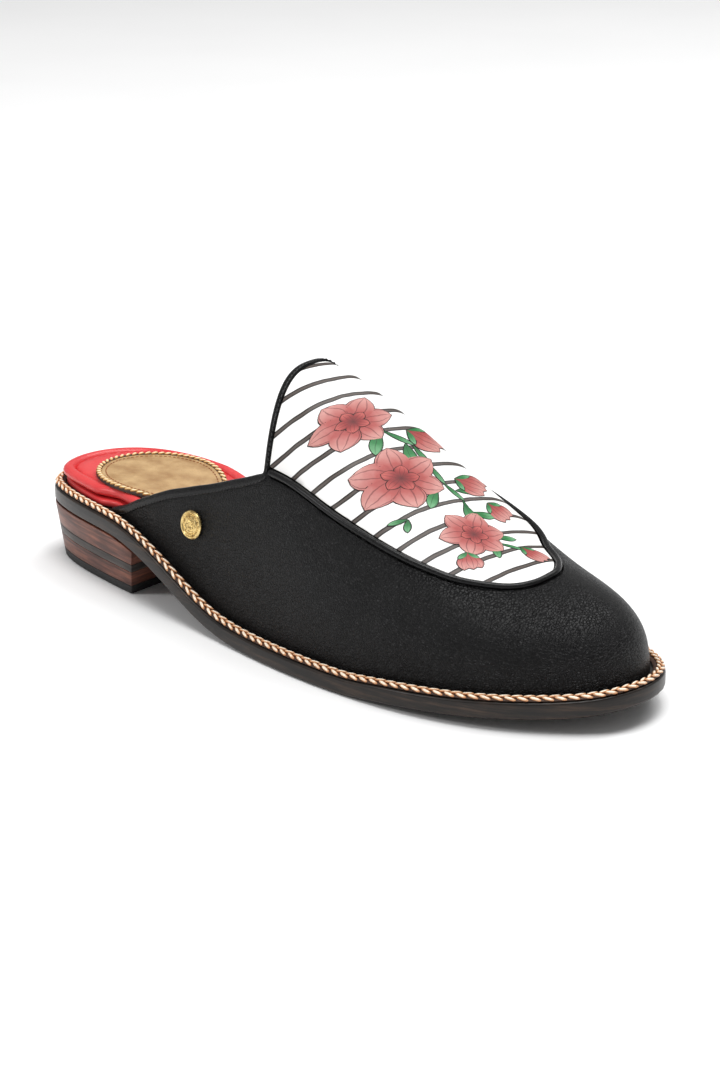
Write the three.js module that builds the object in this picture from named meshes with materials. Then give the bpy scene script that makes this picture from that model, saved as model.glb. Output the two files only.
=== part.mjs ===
/**
 * Babouche slipper, right foot: a backless slip-on with a low stacked heel, a plaited welt, a padded
 * footbed with a heel patch, and a moccasin upper whose high round tongue carries a set-in plug.
 *
 * Millimetres. +X runs from heel to toe, -Y is the outer side of the foot and +Z is up. While the
 * pieces are worked out, x is measured from the back of the heel and z from the floor; at the end the
 * whole shoe is moved so that the middle of its footprint is the origin.
 */
import * as THREE from "three";

// Sole
const shoeLength = 253.4;
const heelWidth = 59;
const waistWidth = 63.6;
const ballWidth = 89.5;
const soleThickness = 5.6;
const soleEdgeRound = 0.6;
const toeSpring = 8;

// Stacked heel: its height is that of the outsole's underside over the floor, at the back
const heelHeight = 21.2;
const heelLength = 60.9;
const heelBackLean = 2.2;
const heelSideLean = 5;
const heelBreastLean = 6.3;
const topPieceThickness = 3.2;
const lowerLiftThickness = 5.9;
const spacerThickness = 3.2;

// Welt, board and padded footbed
const weltWidth = 4.2;
const weltHeight = 1.9;
const boardThickness = 1.8;
const footbedThickness = 4;
const footbedToeThickness = 2.6;
const footbedRoll = 3.4;
const footbedInset = 4.6;
const innerFootbedInset = 3;
const heelPatchLength = 50;
const heelPatchWidth = 41;
const heelPatchThickness = 1;
const heelPatchFromHeel = 43.4;

// Upper: heights of its ridge are measured over the outsole's top at the ball
const upperWall = 2.4;
const wingFromHeel = 44.6;
const innerWingFromHeel = 69;
const throatFromHeel = 125;
const tongueSlant = 12.8;
const tongueRise = 82.1;
const toeBoxRise = 40.8;
const ridgeShift = 3.9;

// Plug, piping, bindings and stud
const plugThickness = 1;
const pipingRadius = 1.2;
const bindingRadius = 0.8;
const tongueBand = 0.8;
const studRadius = 4.9;
const studThickness = 1.5;
const studFromHeel = 89.5;
const studRise = 21.7;

// Clearances between neighbouring pieces
const joinGap = 0.3;
const layerGap = 0.1;
const pipingGap = 0.45;
const wingGap = 0.5;

/** Plan of the sole: distance from the heel as a share of the length, sides as shares of one width. */
const outlineTable = [
  { at: 0.014, outer: 0.232, inner: 0.218, width: heelWidth },
  { at: 0.047, outer: 0.345, inner: 0.375, width: heelWidth },
  { at: 0.102, outer: 0.43, inner: 0.475, width: heelWidth },
  { at: 0.174, outer: 0.502, inner: 0.498, width: heelWidth },
  { at: 0.245, outer: 0.556, inner: 0.49, width: heelWidth },
  { at: 0.38, outer: 0.591, inner: 0.412, width: waistWidth },
  { at: 0.514, outer: 0.483, inner: 0.397, width: ballWidth },
  { at: 0.648, outer: 0.513, inner: 0.487, width: ballWidth },
  { at: 0.773, outer: 0.485, inner: 0.458, width: ballWidth },
  { at: 0.876, outer: 0.393, inner: 0.371, width: ballWidth },
  { at: 0.948, outer: 0.265, inner: 0.257, width: ballWidth },
  { at: 0.985, outer: 0.156, inner: 0.145, width: ballWidth },
];

/** Underside of the outsole: high over the heel, on the floor at the ball, sprung up at the toe. */
const undersideTable = [
  { at: 0, share: 1, height: heelHeight },
  { at: 0.141, share: 1, height: heelHeight },
  { at: 0.192, share: 0.98, height: heelHeight },
  { at: 0.227, share: 0.91, height: heelHeight },
  { at: 0.262, share: 0.78, height: heelHeight },
  { at: 0.303, share: 0.58, height: heelHeight },
  { at: 0.343, share: 0.36, height: heelHeight },
  { at: 0.384, share: 0.17, height: heelHeight },
  { at: 0.424, share: 0.055, height: heelHeight },
  { at: 0.475, share: 0.008, height: heelHeight },
  { at: 0.515, share: 0, height: heelHeight },
  { at: 0.646, share: 0, height: toeSpring },
  { at: 0.727, share: 0.19, height: toeSpring },
  { at: 0.793, share: 0.32, height: toeSpring },
  { at: 0.866, share: 0.48, height: toeSpring },
  { at: 0.938, share: 0.67, height: toeSpring },
  { at: 0.968, share: 0.8, height: toeSpring },
  { at: 1, share: 1, height: toeSpring },
];

/**
 * Ridge of the upper: share of the way from the tongue's top to the toe tip, and height as a share
 * of the way from the toe box up to the tongue. Rows before 0 shape the wings behind the throat.
 */
const ridgeTable = [
  { at: -0.352, rise: 1.344 },
  { at: -0.141, rise: 0.973 },
  { at: 0, rise: 1 },
  { at: 0.183, rise: 0.712 },
  { at: 0.359, rise: 0.3 },
  { at: 0.535, rise: 0 },
];

/** Fullness of the upper's cross sections from the throat (0) to the toe (1): higher is squarer. */
const sectionTable = [
  { at: 0, across: 2.8, up: 1.32 },
  { at: 0.35, across: 2.33, up: 1.85 },
  { at: 0.7, across: 1.2, up: 2.6 },
  { at: 1, across: 1.69, up: 2.8 },
];

/** Top edge of a wing: share of the way from its tip to the throat, share of the corner's height. */
const toplineTable = [
  { at: 0, rise: 0.045 },
  { at: 0.06, rise: 0.092 },
  { at: 0.125, rise: 0.186 },
  { at: 0.2, rise: 0.286 },
  { at: 0.29, rise: 0.396 },
  { at: 0.38, rise: 0.508 },
  { at: 0.46, rise: 0.598 },
  { at: 0.626, rise: 0.77 },
  { at: 0.79, rise: 0.896 },
  { at: 0.92, rise: 0.954 },
  { at: 1, rise: 1 },
];

/** Seam of the plug from the throat (0) to the toe (1), as shares of the way up to the ridge. */
const plugSeamTable = [
  { at: 0, outer: 0.54, inner: 0.54 },
  { at: 0.1, outer: 0.53, inner: 0.53 },
  { at: 0.2, outer: 0.517, inner: 0.517 },
  { at: 0.33, outer: 0.511, inner: 0.511 },
  { at: 0.49, outer: 0.483, inner: 0.49 },
  { at: 0.6, outer: 0.46, inner: 0.507 },
  { at: 0.716, outer: 0.475, inner: 0.547 },
  { at: 0.818, outer: 0.535, inner: 0.597 },
  { at: 0.9, outer: 0.605, inner: 0.643 },
  { at: 0.95, outer: 0.645, inner: 0.661 },
  { at: 1, outer: 0.665, inner: 0.665 },
];

/** Profile of the footbed's rolled edge: share of the roll inwards, share of the thickness up. */
const rollTable = [
  { inwards: 0.45, up: 0 },
  { inwards: 0, up: 0.36 },
  { inwards: 0.1, up: 0.68 },
  { inwards: 0.45, up: 0.93 },
  { inwards: 1, up: 1 },
];

/** Profile of the welt: share of its width inwards from the outer edge, share of its height up. */
const weltTable = [
  { inwards: 0.06, up: 0 },
  { inwards: 0, up: 0.45 },
  { inwards: 0.24, up: 0.9 },
  { inwards: 0.5, up: 1 },
  { inwards: 0.76, up: 0.9 },
  { inwards: 1, up: 0.45 },
  { inwards: 0.94, up: 0 },
];

// Fineness of the solids
const outlineSteps = 46;
const heelSteps = 14;
const denseSteps = 1600;
const wingSteps = 11;
const vampSteps = 22;
const wallRows = 6;
const plugRows = 7;
const plugSteps = 20;
const tubeSides = 8;

// Sides of the foot, named by the sign of y
const outerSide = -1;
const innerSide = 1;

/** Straight mix of two values. */
function mix(from, to, share) {
  return from + (to - from) * share;
}

/** Smooth step from 0 to 1 as a value goes from one limit to the other. */
function ease(value, from, to) {
  return THREE.MathUtils.smoothstep(value, from, to);
}

/** Interpolation that never overshoots its points, for profiles with flats. */
function monotone(xs, ys) {
  const slopes = xs.slice(1).map((x, i) => (ys[i + 1] - ys[i]) / (x - xs[i]));
  const tangents = xs.map((x, i) => {
    if (i === 0) return slopes[0];
    if (i === xs.length - 1) return slopes[i - 1];
    if (slopes[i - 1] * slopes[i] <= 0) return 0;
    const before = xs[i] - xs[i - 1];
    const after = xs[i + 1] - xs[i];
    const weight = (before + 2 * after) / (3 * (before + after));
    return 1 / (weight / slopes[i - 1] + (1 - weight) / slopes[i]);
  });
  return (value) => {
    const x = THREE.MathUtils.clamp(value, xs[0], xs[xs.length - 1]);
    let i = 0;
    while (i < xs.length - 2 && x > xs[i + 1]) i += 1;
    const h = xs[i + 1] - xs[i];
    const u = (x - xs[i]) / h;
    const start = (1 + 2 * u) * (1 - u) ** 2 * ys[i] + u * (1 - u) ** 2 * h * tangents[i];
    const end = u * u * (3 - 2 * u) * ys[i + 1] + u * u * (u - 1) * h * tangents[i + 1];
    return start + end;
  };
}

/** Solves a small set of linear equations by elimination. */
function solveLinear(matrix, right) {
  const rows = matrix.map((row, i) => [...row, right[i]]);
  const count = rows.length;
  for (let pivot = 0; pivot < count; pivot += 1) {
    for (let i = pivot + 1; i < count; i += 1) {
      const factor = rows[i][pivot] / rows[pivot][pivot];
      for (let j = pivot; j <= count; j += 1) rows[i][j] -= factor * rows[pivot][j];
    }
  }
  const result = new Array(count).fill(0);
  for (let i = count - 1; i >= 0; i -= 1) {
    let sum = rows[i][count];
    for (let j = i + 1; j < count; j += 1) sum -= rows[i][j] * result[j];
    result[i] = sum / rows[i][i];
  }
  return result;
}

/** Cubic spline through points, straight at its ends or closed on itself. */
function cubic(xs, ys, closed = false) {
  const spans = xs.slice(1).map((x, i) => x - xs[i]);
  const slopes = spans.map((h, i) => (ys[i + 1] - ys[i]) / h);
  const count = closed ? spans.length : xs.length;
  const matrix = xs.slice(0, count).map(() => new Array(count).fill(0));
  const right = new Array(count).fill(0);
  for (let i = 0; i < count; i += 1) {
    if (!closed && (i === 0 || i === count - 1)) {
      matrix[i][i] = 1;
      continue;
    }
    const before = (i - 1 + spans.length) % spans.length;
    matrix[i][(i - 1 + count) % count] += spans[before];
    matrix[i][i] += 2 * (spans[before] + spans[i]);
    matrix[i][(i + 1) % count] += spans[i];
    right[i] = 6 * (slopes[i] - slopes[before]);
  }
  const bend = solveLinear(matrix, right);
  if (closed) bend.push(bend[0]);
  return (x) => {
    let i = 0;
    while (i < spans.length - 1 && x > xs[i + 1]) i += 1;
    const h = spans[i];
    const a = (xs[i + 1] - x) / h;
    const b = (x - xs[i]) / h;
    const curve = ((a ** 3 - a) * bend[i] + (b ** 3 - b) * bend[i + 1]) * h * h / 6;
    return a * ys[i] + b * ys[i + 1] + curve;
  };
}

const undersideAt = monotone(
  undersideTable.map((row) => row.at * shoeLength),
  undersideTable.map((row) => row.share * row.height),
);

/** Height of the outsole's top, where the board and the upper stand. */
function soleTop(x) {
  return undersideAt(x) + soleThickness;
}

/** Plan outline of the sole as a closed curve: heel back, outer side, toe tip, inner side. */
const outline = (() => {
  const outer = outlineTable.map((row) => [row.at * shoeLength, -row.outer * row.width]);
  const inner = outlineTable.map((row) => [row.at * shoeLength, row.inner * row.width]);
  const points = [[0, 0], ...outer, [shoeLength, 0], ...inner.reverse(), [0, 0]];
  const knots = [0];
  for (let i = 1; i < points.length; i += 1) {
    const step = Math.hypot(points[i][0] - points[i - 1][0], points[i][1] - points[i - 1][1]);
    knots.push(knots[i - 1] + Math.sqrt(step));
  }
  const xAt = cubic(knots, points.map((point) => point[0]), true);
  const yAt = cubic(knots, points.map((point) => point[1]), true);
  return { xAt, yAt, toe: knots[outer.length + 1], end: knots[knots.length - 1] };
})();

/** Point of the plan outline at a curve value, moved inwards by an inset that may follow x and y. */
function insetPoint(at, inset) {
  const nudge = outline.end / denseSteps / 4;
  const x = outline.xAt(at);
  const y = outline.yAt(at);
  const before = (at - nudge + outline.end) % outline.end;
  const after = (at + nudge) % outline.end;
  const along = new THREE.Vector2(
    outline.xAt(after) - outline.xAt(before),
    outline.yAt(after) - outline.yAt(before),
  ).normalize();
  const distance = typeof inset === "function" ? inset(x, y) : inset;
  return new THREE.Vector2(x - along.y * distance, y + along.x * distance);
}

/** Curve value on one side, at a share of the way from the heel's back to another value's place. */
function sideValue(side, share, reach) {
  return side === outerSide ? share * reach : outline.end - share * (outline.end - reach);
}

/** Curve value where the outline of one side reaches a distance from the heel. */
function valueAtX(side, x) {
  let low = 0;
  let high = 1;
  for (let i = 0; i < 40; i += 1) {
    const middle = (low + high) / 2;
    if (outline.xAt(sideValue(side, middle, outline.toe)) < x) low = middle;
    else high = middle;
  }
  return sideValue(side, low, outline.toe);
}

/** Ring round the whole sole: outer side from the heel to the toe, then back along the inner side. */
function soleRing(inset, heightAt) {
  const ring = [];
  for (let i = 0; i < 2 * outlineSteps; i += 1) {
    const side = i <= outlineSteps ? outerSide : innerSide;
    const share = i <= outlineSteps ? i / outlineSteps : 2 - i / outlineSteps;
    const point = insetPoint(sideValue(side, share, outline.toe), inset);
    ring.push(new THREE.Vector3(point.x, point.y, heightAt(point.x)));
  }
  return ring;
}

/** Indexed geometry of points and faces, without faces that have no area. */
function solidGeometry(points, faces) {
  const geometry = new THREE.BufferGeometry();
  const kept = faces.filter(([a, b, c]) => a !== b && b !== c && c !== a);
  geometry.setAttribute("position", new THREE.Float32BufferAttribute(points.flatMap((p) => p.toArray()), 3));
  geometry.setIndex(kept.flat());
  return geometry;
}

/** Solid through rings of equal count from bottom to top, its ends closed from side to side. */
function stackedRings(rings) {
  const count = rings[0].length;
  const faces = [];
  const quad = (a, b, c, d) => faces.push([a, b, c], [a, c, d]);
  for (let level = 0; level < rings.length - 1; level += 1) {
    for (let i = 0; i < count; i += 1) {
      const next = (i + 1) % count;
      const low = level * count;
      const high = low + count;
      quad(low + i, low + next, high + next, high + i);
    }
  }
  const top = (rings.length - 1) * count;
  for (let i = 0; i < Math.floor(count / 2); i += 1) {
    const across = (count - i) % count;
    const acrossNext = count - i - 1;
    quad(top + i, top + i + 1, top + acrossNext, top + across);
    quad(across, acrossNext, i + 1, i);
  }
  return solidGeometry(rings.flat(), faces);
}

/** Solid that runs round in a closed loop of equal rings, such as the welt. */
function loopedRings(rings) {
  const count = rings[0].length;
  const faces = [];
  rings.forEach((ring, level) => {
    const low = level * count;
    const high = ((level + 1) % rings.length) * count;
    for (let i = 0; i < count; i += 1) {
      const next = (i + 1) % count;
      faces.push([low + i, low + next, high + next], [low + i, high + next, high + i]);
    }
  });
  return solidGeometry(rings.flat(), faces);
}

/** Tube of a round section along a smooth path. */
function tubeAlong(points, radius, steps) {
  const corners = [];
  for (let i = 0; i < tubeSides; i += 1) {
    const angle = (2 * Math.PI * i) / tubeSides;
    corners.push(new THREE.Vector2(radius * Math.cos(angle), radius * Math.sin(angle)));
  }
  const path = new THREE.CatmullRomCurve3(points, false, "centripetal");
  return new THREE.ExtrudeGeometry(new THREE.Shape(corners), { steps, extrudePath: path });
}

/** Outline of the heel at one height, from its back along both sides to the breast. */
function heelRing(heightAt) {
  const floorBreast = heelLength - heelBreastLean;
  const narrowing = 1 - heelSideLean / (heelWidth / 2);
  const place = (side, share) => {
    const value = sideValue(side, share, valueAtX(side, heelLength));
    const top = insetPoint(value, 0);
    const height = heightAt(top.x);
    const rise = height / (undersideAt(top.x) - joinGap);
    const floorX = mix(heelBackLean, floorBreast, top.x / heelLength);
    return new THREE.Vector3(mix(floorX, top.x, rise), mix(top.y * narrowing, top.y, rise), height);
  };
  const ring = [];
  for (let i = 0; i <= heelSteps; i += 1) ring.push(place(outerSide, i / heelSteps));
  for (let i = heelSteps; i > 0; i -= 1) ring.push(place(innerSide, i / heelSteps));
  return ring;
}

/** Outsole: true outline, flat on the floor at the ball, with both edges eased. */
function outsoleGeometry() {
  return stackedRings([
    soleRing(soleEdgeRound, undersideAt),
    soleRing(0, (x) => undersideAt(x) + soleEdgeRound),
    soleRing(0, (x) => soleTop(x) - soleEdgeRound),
    soleRing(soleEdgeRound, soleTop),
  ]);
}

/** One level layer of the stacked heel. */
function heelLayerGeometry(bottom, top) {
  return stackedRings([heelRing(() => bottom), heelRing(() => top)]);
}

/** Upper lift: flat below, following the rise of the outsole above. */
function upperLiftGeometry(bottom) {
  return stackedRings([heelRing(() => bottom), heelRing((x) => undersideAt(x) - joinGap)]);
}

/** Welt: a rounded band round the whole edge, on the outsole's rim. */
function weltGeometry() {
  const ringOf = (row) => soleRing(row.inwards * weltWidth, (x) => soleTop(x) + joinGap + row.up * weltHeight);
  return loopedRings(weltTable.map(ringOf));
}

/** Share of the way from the bare heel seat to the narrower part between the wings. */
function betweenWings(x, y, length) {
  const inner = ease(y, -heelWidth / 6, heelWidth / 6);
  const tip = mix(wingFromHeel, innerWingFromHeel, inner) - upperWall;
  return ease(x, tip - length, tip);
}

/** Board under the footbed: it fills the bare heel seat and narrows to pass between the wings. */
function boardGeometry() {
  const seatInset = weltWidth + 2 * joinGap;
  const wallInset = featherInset + upperWall + wingGap;
  const inset = (x, y) => mix(seatInset, wallInset, betweenWings(x, y, 3 * upperWall));
  const bottom = (x) => soleTop(x) + joinGap;
  return stackedRings([soleRing(inset, bottom), soleRing(inset, (x) => bottom(x) + boardThickness)]);
}

/** Height of the footbed's underside. */
function footbedBase(x) {
  return soleTop(x) + boardThickness + 2 * joinGap;
}

/** Thickness of the footbed: full under the heel and thinner towards the toe. */
function footbedDepth(x) {
  return mix(footbedThickness, footbedToeThickness, ease(x, wingFromHeel, throatFromHeel));
}

/** Padded footbed with a rolled edge that swells over the board at the bare heel. */
function footbedGeometry() {
  const wallInset = featherInset + upperWall + 3 * wingGap;
  const edge = (x, y) => {
    const outer = mix(innerFootbedInset, footbedInset, ease(x, 0, heelLength / 2));
    const seatInset = mix(outer, innerFootbedInset, ease(y, -heelWidth / 3, heelWidth / 3));
    return mix(seatInset, wallInset, betweenWings(x, y, 5 * upperWall));
  };
  const ringOf = (row) => soleRing(
    (x, y) => edge(x, y) + row.inwards * footbedRoll,
    (x) => footbedBase(x) + row.up * footbedDepth(x),
  );
  return stackedRings(rollTable.map(ringOf));
}

/** Oval patch lying on the heel of the footbed, with an eased rim. */
function heelPatchGeometry() {
  const steps = 16;
  const base = (x) => footbedBase(x) + footbedDepth(x) + joinGap;
  const ringOf = (inset, lift) => {
    const ring = [];
    for (let i = 0; i < 2 * steps; i += 1) {
      const angle = Math.PI + (Math.PI * i) / steps;
      const x = heelPatchFromHeel + (heelPatchLength / 2 - inset) * Math.cos(angle);
      const y = (heelPatchWidth / 2 - inset) * Math.sin(angle);
      ring.push(new THREE.Vector3(x, y, base(x) + lift));
    }
    return ring;
  };
  const rim = heelPatchThickness / 2;
  return stackedRings([ringOf(rim / 2, 0), ringOf(0, rim), ringOf(rim, heelPatchThickness)]);
}

// Share along the vamp over which the arches stop leaning, share up that counts as the ridge, and
// the step at which the skin's directions are measured
const leanFade = 0.35;
const ridgeZone = 0.985;
const probeStep = 0.004;

// The upper's foot follows this line on the outsole, just inside the welt
const featherInset = weltWidth + joinGap;
const tongueTop = throatFromHeel - tongueSlant;
const ridgeAt = (share) => mix(tongueTop, shoeLength, share);
const ridgeEnd = ridgeAt(ridgeTable[ridgeTable.length - 1].at);
const ridgeHeight = cubic(
  ridgeTable.map((row) => ridgeAt(row.at)),
  ridgeTable.map((row) => soleThickness + mix(toeBoxRise, tongueRise, row.rise)),
);
const acrossAt = monotone(sectionTable.map((row) => row.at), sectionTable.map((row) => row.across));
const upAt = monotone(sectionTable.map((row) => row.at), sectionTable.map((row) => row.up));
const seamLines = {
  [outerSide]: monotone(plugSeamTable.map((row) => row.at), plugSeamTable.map((row) => row.outer)),
  [innerSide]: monotone(plugSeamTable.map((row) => row.at), plugSeamTable.map((row) => row.inner)),
};
const toplineAt = monotone(toplineTable.map((row) => row.at), toplineTable.map((row) => row.rise));

/** Feather line of each side from the heel to the toe, with its length from the heel at each point. */
const featherLines = (() => {
  const loop = [];
  for (let i = 0; i < denseSteps; i += 1) {
    loop.push(insetPoint((i * outline.end) / denseSteps, featherInset));
  }
  const toe = loop.reduce((best, point, i) => (point.x > loop[best].x ? i : best), 0);
  const outerLine = loop.slice(0, toe + 1);
  const innerLine = [...loop.slice(toe), loop[0]].reverse();
  const measure = (line) => {
    const lengths = [0];
    for (let i = 1; i < line.length; i += 1) lengths.push(lengths[i - 1] + line[i].distanceTo(line[i - 1]));
    return { line, lengths, total: lengths[lengths.length - 1] };
  };
  return { [outerSide]: measure(outerLine), [innerSide]: measure(innerLine) };
})();

/** Place in a rising list where a value falls, as an index with a fraction. */
function placeIn(values, value) {
  let low = 0;
  let high = values.length - 1;
  while (high - low > 1) {
    const middle = Math.floor((low + high) / 2);
    if (values[middle] <= value) low = middle;
    else high = middle;
  }
  return low + THREE.MathUtils.clamp((value - values[low]) / (values[high] - values[low]), 0, 1);
}

/** Length along a feather line at which it passes a distance from the heel. */
function lengthAtX(side, x) {
  const { line, lengths } = featherLines[side];
  const index = line.findIndex((point) => point.x > x);
  const share = (x - line[index - 1].x) / (line[index].x - line[index - 1].x);
  return mix(lengths[index - 1], lengths[index], share);
}

const throatLength = {
  [outerSide]: lengthAtX(outerSide, throatFromHeel),
  [innerSide]: lengthAtX(innerSide, throatFromHeel),
};
const wingLength = {
  [outerSide]: lengthAtX(outerSide, wingFromHeel),
  [innerSide]: lengthAtX(innerSide, innerWingFromHeel),
};

/** Pace of the ridge beside the feather, so that both leave the throat at the same speed. */
const ridgePace = (() => {
  const outerReach = featherLines[outerSide].total - throatLength[outerSide];
  const innerReach = featherLines[innerSide].total - throatLength[innerSide];
  return (outerReach + innerReach) / 2 / (ridgeEnd - tongueTop);
})();

/**
 * Feather point for a place along the upper: -1 is the wing's tip, 0 the throat and 1 the toe tip.
 */
function featherPoint(side, along) {
  const { line, lengths, total } = featherLines[side];
  const throat = throatLength[side];
  const length = along < 0 ? mix(throat, wingLength[side], -along) : mix(throat, total, along);
  const place = placeIn(lengths, length);
  const index = Math.min(Math.floor(place), line.length - 2);
  return line[index].clone().lerp(line[index + 1], place - index);
}

/**
 * Outer skin of the upper. A cross section is a rounded arch from the feather (up = 0) to the ridge
 * (up = 1). Behind the throat the arches lean back with the tongue; towards the toe they fan out.
 */
function skinPoint(side, along, up) {
  const foot = featherPoint(side, along);
  const forward = Math.max(along, 0);
  const ridgeX = along < 0 ? foot.x - tongueSlant : mix(tongueTop, ridgeEnd, 1 - (1 - forward) ** ridgePace);
  const ridge = new THREE.Vector2(ridgeX, ridgeShift);
  const out = foot.clone().sub(ridge);
  const lean = 1 - ease(forward, 0, leanFade);
  const slope = along < 0 ? 0 : (ridgeHeight(ridgeX + 0.05) - ridgeHeight(ridgeX - 0.05)) / 0.1;
  const angle = (up * Math.PI) / 2;
  const reach = Math.max(Math.cos(angle), 0) ** (2 / acrossAt(forward));
  const rise = Math.sin(angle) ** (2 / upAt(forward));
  const base = soleTop(foot.x) + joinGap;
  const swell = slope * out.x * (1 - lean) * reach * (1 - reach) ** 2;
  return new THREE.Vector3(
    ridge.x + out.x * mix(reach, reach * reach, lean),
    ridge.y + out.y * reach,
    base + (ridgeHeight(ridgeX) - base) * rise + swell,
  );
}

/** Outward direction of the skin. On the ridge itself it follows the ridge's slope. */
function skinNormal(side, along, up) {
  const forward = Math.max(along, 0);
  if (up > ridgeZone) {
    const ridgeX = mix(tongueTop, ridgeEnd, 1 - (1 - forward) ** ridgePace);
    const slope = ridgeHeight(ridgeX + 0.5) - ridgeHeight(ridgeX - 0.5);
    return new THREE.Vector3(-slope, 0, 1).normalize();
  }
  const step = probeStep;
  const low = Math.max(up - step, 0);
  const lengthwise = along + step > 1
    ? skinPoint(-side, 1 - step, up).sub(skinPoint(side, 1 - step, up))
    : skinPoint(side, along + step, up).sub(skinPoint(side, Math.max(along - step, -1), up));
  const upwards = skinPoint(side, along, up + step).sub(skinPoint(side, along, low));
  const normal = lengthwise.cross(upwards).normalize();
  return side === outerSide ? normal : normal.negate();
}

/** Point below (or, with a negative depth, above) the skin. */
function underSkin(side, along, up, depth) {
  return skinPoint(side, along, up).addScaledVector(skinNormal(side, along, up), -depth);
}

/** Share of the way up at a distance across the plug's seam, positive towards the ridge. */
function besideSeam(side, along, offset) {
  const up = seamLines[side](along);
  const step = 0.02;
  const run = skinPoint(side, along, up + step).distanceTo(skinPoint(side, along, up - step));
  return up + (offset * 2 * step) / run;
}

const channelHalf = pipingRadius + pipingGap;
const recessDepth = plugThickness + joinGap;

/** Share along the upper that a distance forward of the throat makes, near the tongue's edge. */
function alongOf(distance) {
  return distance / (featherLines[outerSide].total - throatLength[outerSide]);
}

/** Top edge of the wing, or the edge of the plug's recess in front of the throat. */
function wallTop(side, along) {
  if (along >= 0) return besideSeam(side, along, -channelHalf);
  return toplineAt(1 + along) * besideSeam(side, 0, -channelHalf);
}

/**
 * Shell over a grid of columns and rows that both sides share along the ridge. Each cell goes from
 * its own depth under the skin to the inner depth; where depths differ or a cell has no neighbour,
 * a wall joins them.
 */
function shellGeometry({ columns, rows, upAtRow, depthOf, innerDepth }) {
  const last = columns.length - 1;
  const points = [];
  const found = new Map();
  const corner = (column, row) => (row === rows ? Math.min(column, 2 * last - column) : column);
  const vertex = (column, row, depth) => {
    const shared = corner(column, row);
    const key = `${shared},${row},${depth}`;
    if (!found.has(key)) {
      const side = shared <= last ? outerSide : innerSide;
      const along = columns[Math.min(shared, 2 * last - shared)];
      found.set(key, points.length);
      points.push(underSkin(side, along, upAtRow(side, along, row), depth));
    }
    return found.get(key);
  };
  const cells = [];
  for (let column = 0; column < 2 * last; column += 1) {
    for (let row = 0; row < rows; row += 1) {
      const depth = depthOf(Math.min(column, 2 * last - 1 - column), row);
      if (depth !== null) cells.push({ column, row, depth });
    }
  }
  const cornersOf = ({ column, row }) => [
    [column, row], [column + 1, row], [column + 1, row + 1], [column, row + 1],
  ];
  const name = (a, b) => [a, b].map(([c, r]) => `${corner(c, r)},${r}`).sort().join(" ");
  const edges = new Map();
  cells.forEach((cell) => {
    cornersOf(cell).forEach((a, i, all) => {
      const key = name(a, all[(i + 1) % 4]);
      edges.set(key, [...(edges.get(key) ?? []), cell]);
    });
  });
  const faces = [];
  const quad = (a, b, c, d) => faces.push([a, b, c], [a, c, d]);
  cells.forEach((cell) => {
    const around = cornersOf(cell);
    quad(...around.map(([c, r]) => vertex(c, r, cell.depth)));
    quad(...around.map(([c, r]) => vertex(c, r, innerDepth)).reverse());
    around.forEach((a, i) => {
      const b = around[(i + 1) % 4];
      const other = edges.get(name(a, b)).find((candidate) => candidate !== cell);
      const floor = other ? other.depth : innerDepth;
      if (floor <= cell.depth) return;
      quad(vertex(...b, cell.depth), vertex(...a, cell.depth), vertex(...a, floor), vertex(...b, floor));
    });
  });
  return solidGeometry(points, faces);
}

/** Evenly spread values from one to another, both included. */
function spread(from, to, steps) {
  return Array.from({ length: steps + 1 }, (unused, i) => mix(from, to, i / steps));
}

/** Upper: one shell from wing tip to wing tip round the toe, stepped down under the plug. */
function upperGeometry() {
  const band = alongOf(tongueBand);
  const wing = spread(-1, 0, wingSteps);
  const columns = [...wing, ...spread(band, 1, vampSteps)];
  const rows = wallRows + plugRows;
  const upAtRow = (side, along, row) => {
    const edge = wallTop(side, along);
    return row <= wallRows ? (edge * row) / wallRows : mix(edge, 1, (row - wallRows) / plugRows);
  };
  const depthOf = (column, row) => {
    if (row < wallRows) return 0;
    if (column < wingSteps) return null;
    return column > wingSteps ? recessDepth : 0;
  };
  return shellGeometry({ columns, rows, upAtRow, depthOf, innerDepth: upperWall });
}

/** Plug: the set-in panel of the vamp and tongue, lying in the upper's recess inside the piping. */
function plugGeometry() {
  const columns = spread(alongOf(tongueBand + joinGap), 1, plugSteps);
  const upAtRow = (side, along, row) => mix(besideSeam(side, along, channelHalf), 1, row / plugRows);
  return shellGeometry({ columns, rows: plugRows, upAtRow, depthOf: () => 0, innerDepth: plugThickness });
}

/** Piping along the plug's seam, from the tongue's band round the toe and back. */
function pipingGeometry() {
  const start = alongOf(tongueBand + pipingRadius);
  const lift = pipingRadius - recessDepth + pipingGap;
  const path = (side) => spread(start, 1, 16).map((along) => underSkin(side, along, seamLines[side](along), -lift));
  return tubeAlong([...path(outerSide), ...path(innerSide).reverse().slice(1)], pipingRadius, 66);
}

/** Rolled binding behind the tongue's edge, from one throat corner over the top to the other. */
function tongueBindingGeometry() {
  const from = besideSeam(outerSide, 0, bindingRadius);
  const behind = bindingRadius + joinGap;
  const place = (side, up) => {
    const edge = underSkin(side, 0, up, upperWall / 2);
    const back = skinPoint(side, -0.01, up).sub(skinPoint(side, 0.01, up)).normalize();
    return edge.addScaledVector(back, behind);
  };
  const rising = spread(from, 0.96, 9);
  const path = [...rising.map((up) => place(outerSide, up)), ...rising.reverse().map((up) => place(innerSide, up))];
  return tubeAlong(path, bindingRadius, 44);
}

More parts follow.
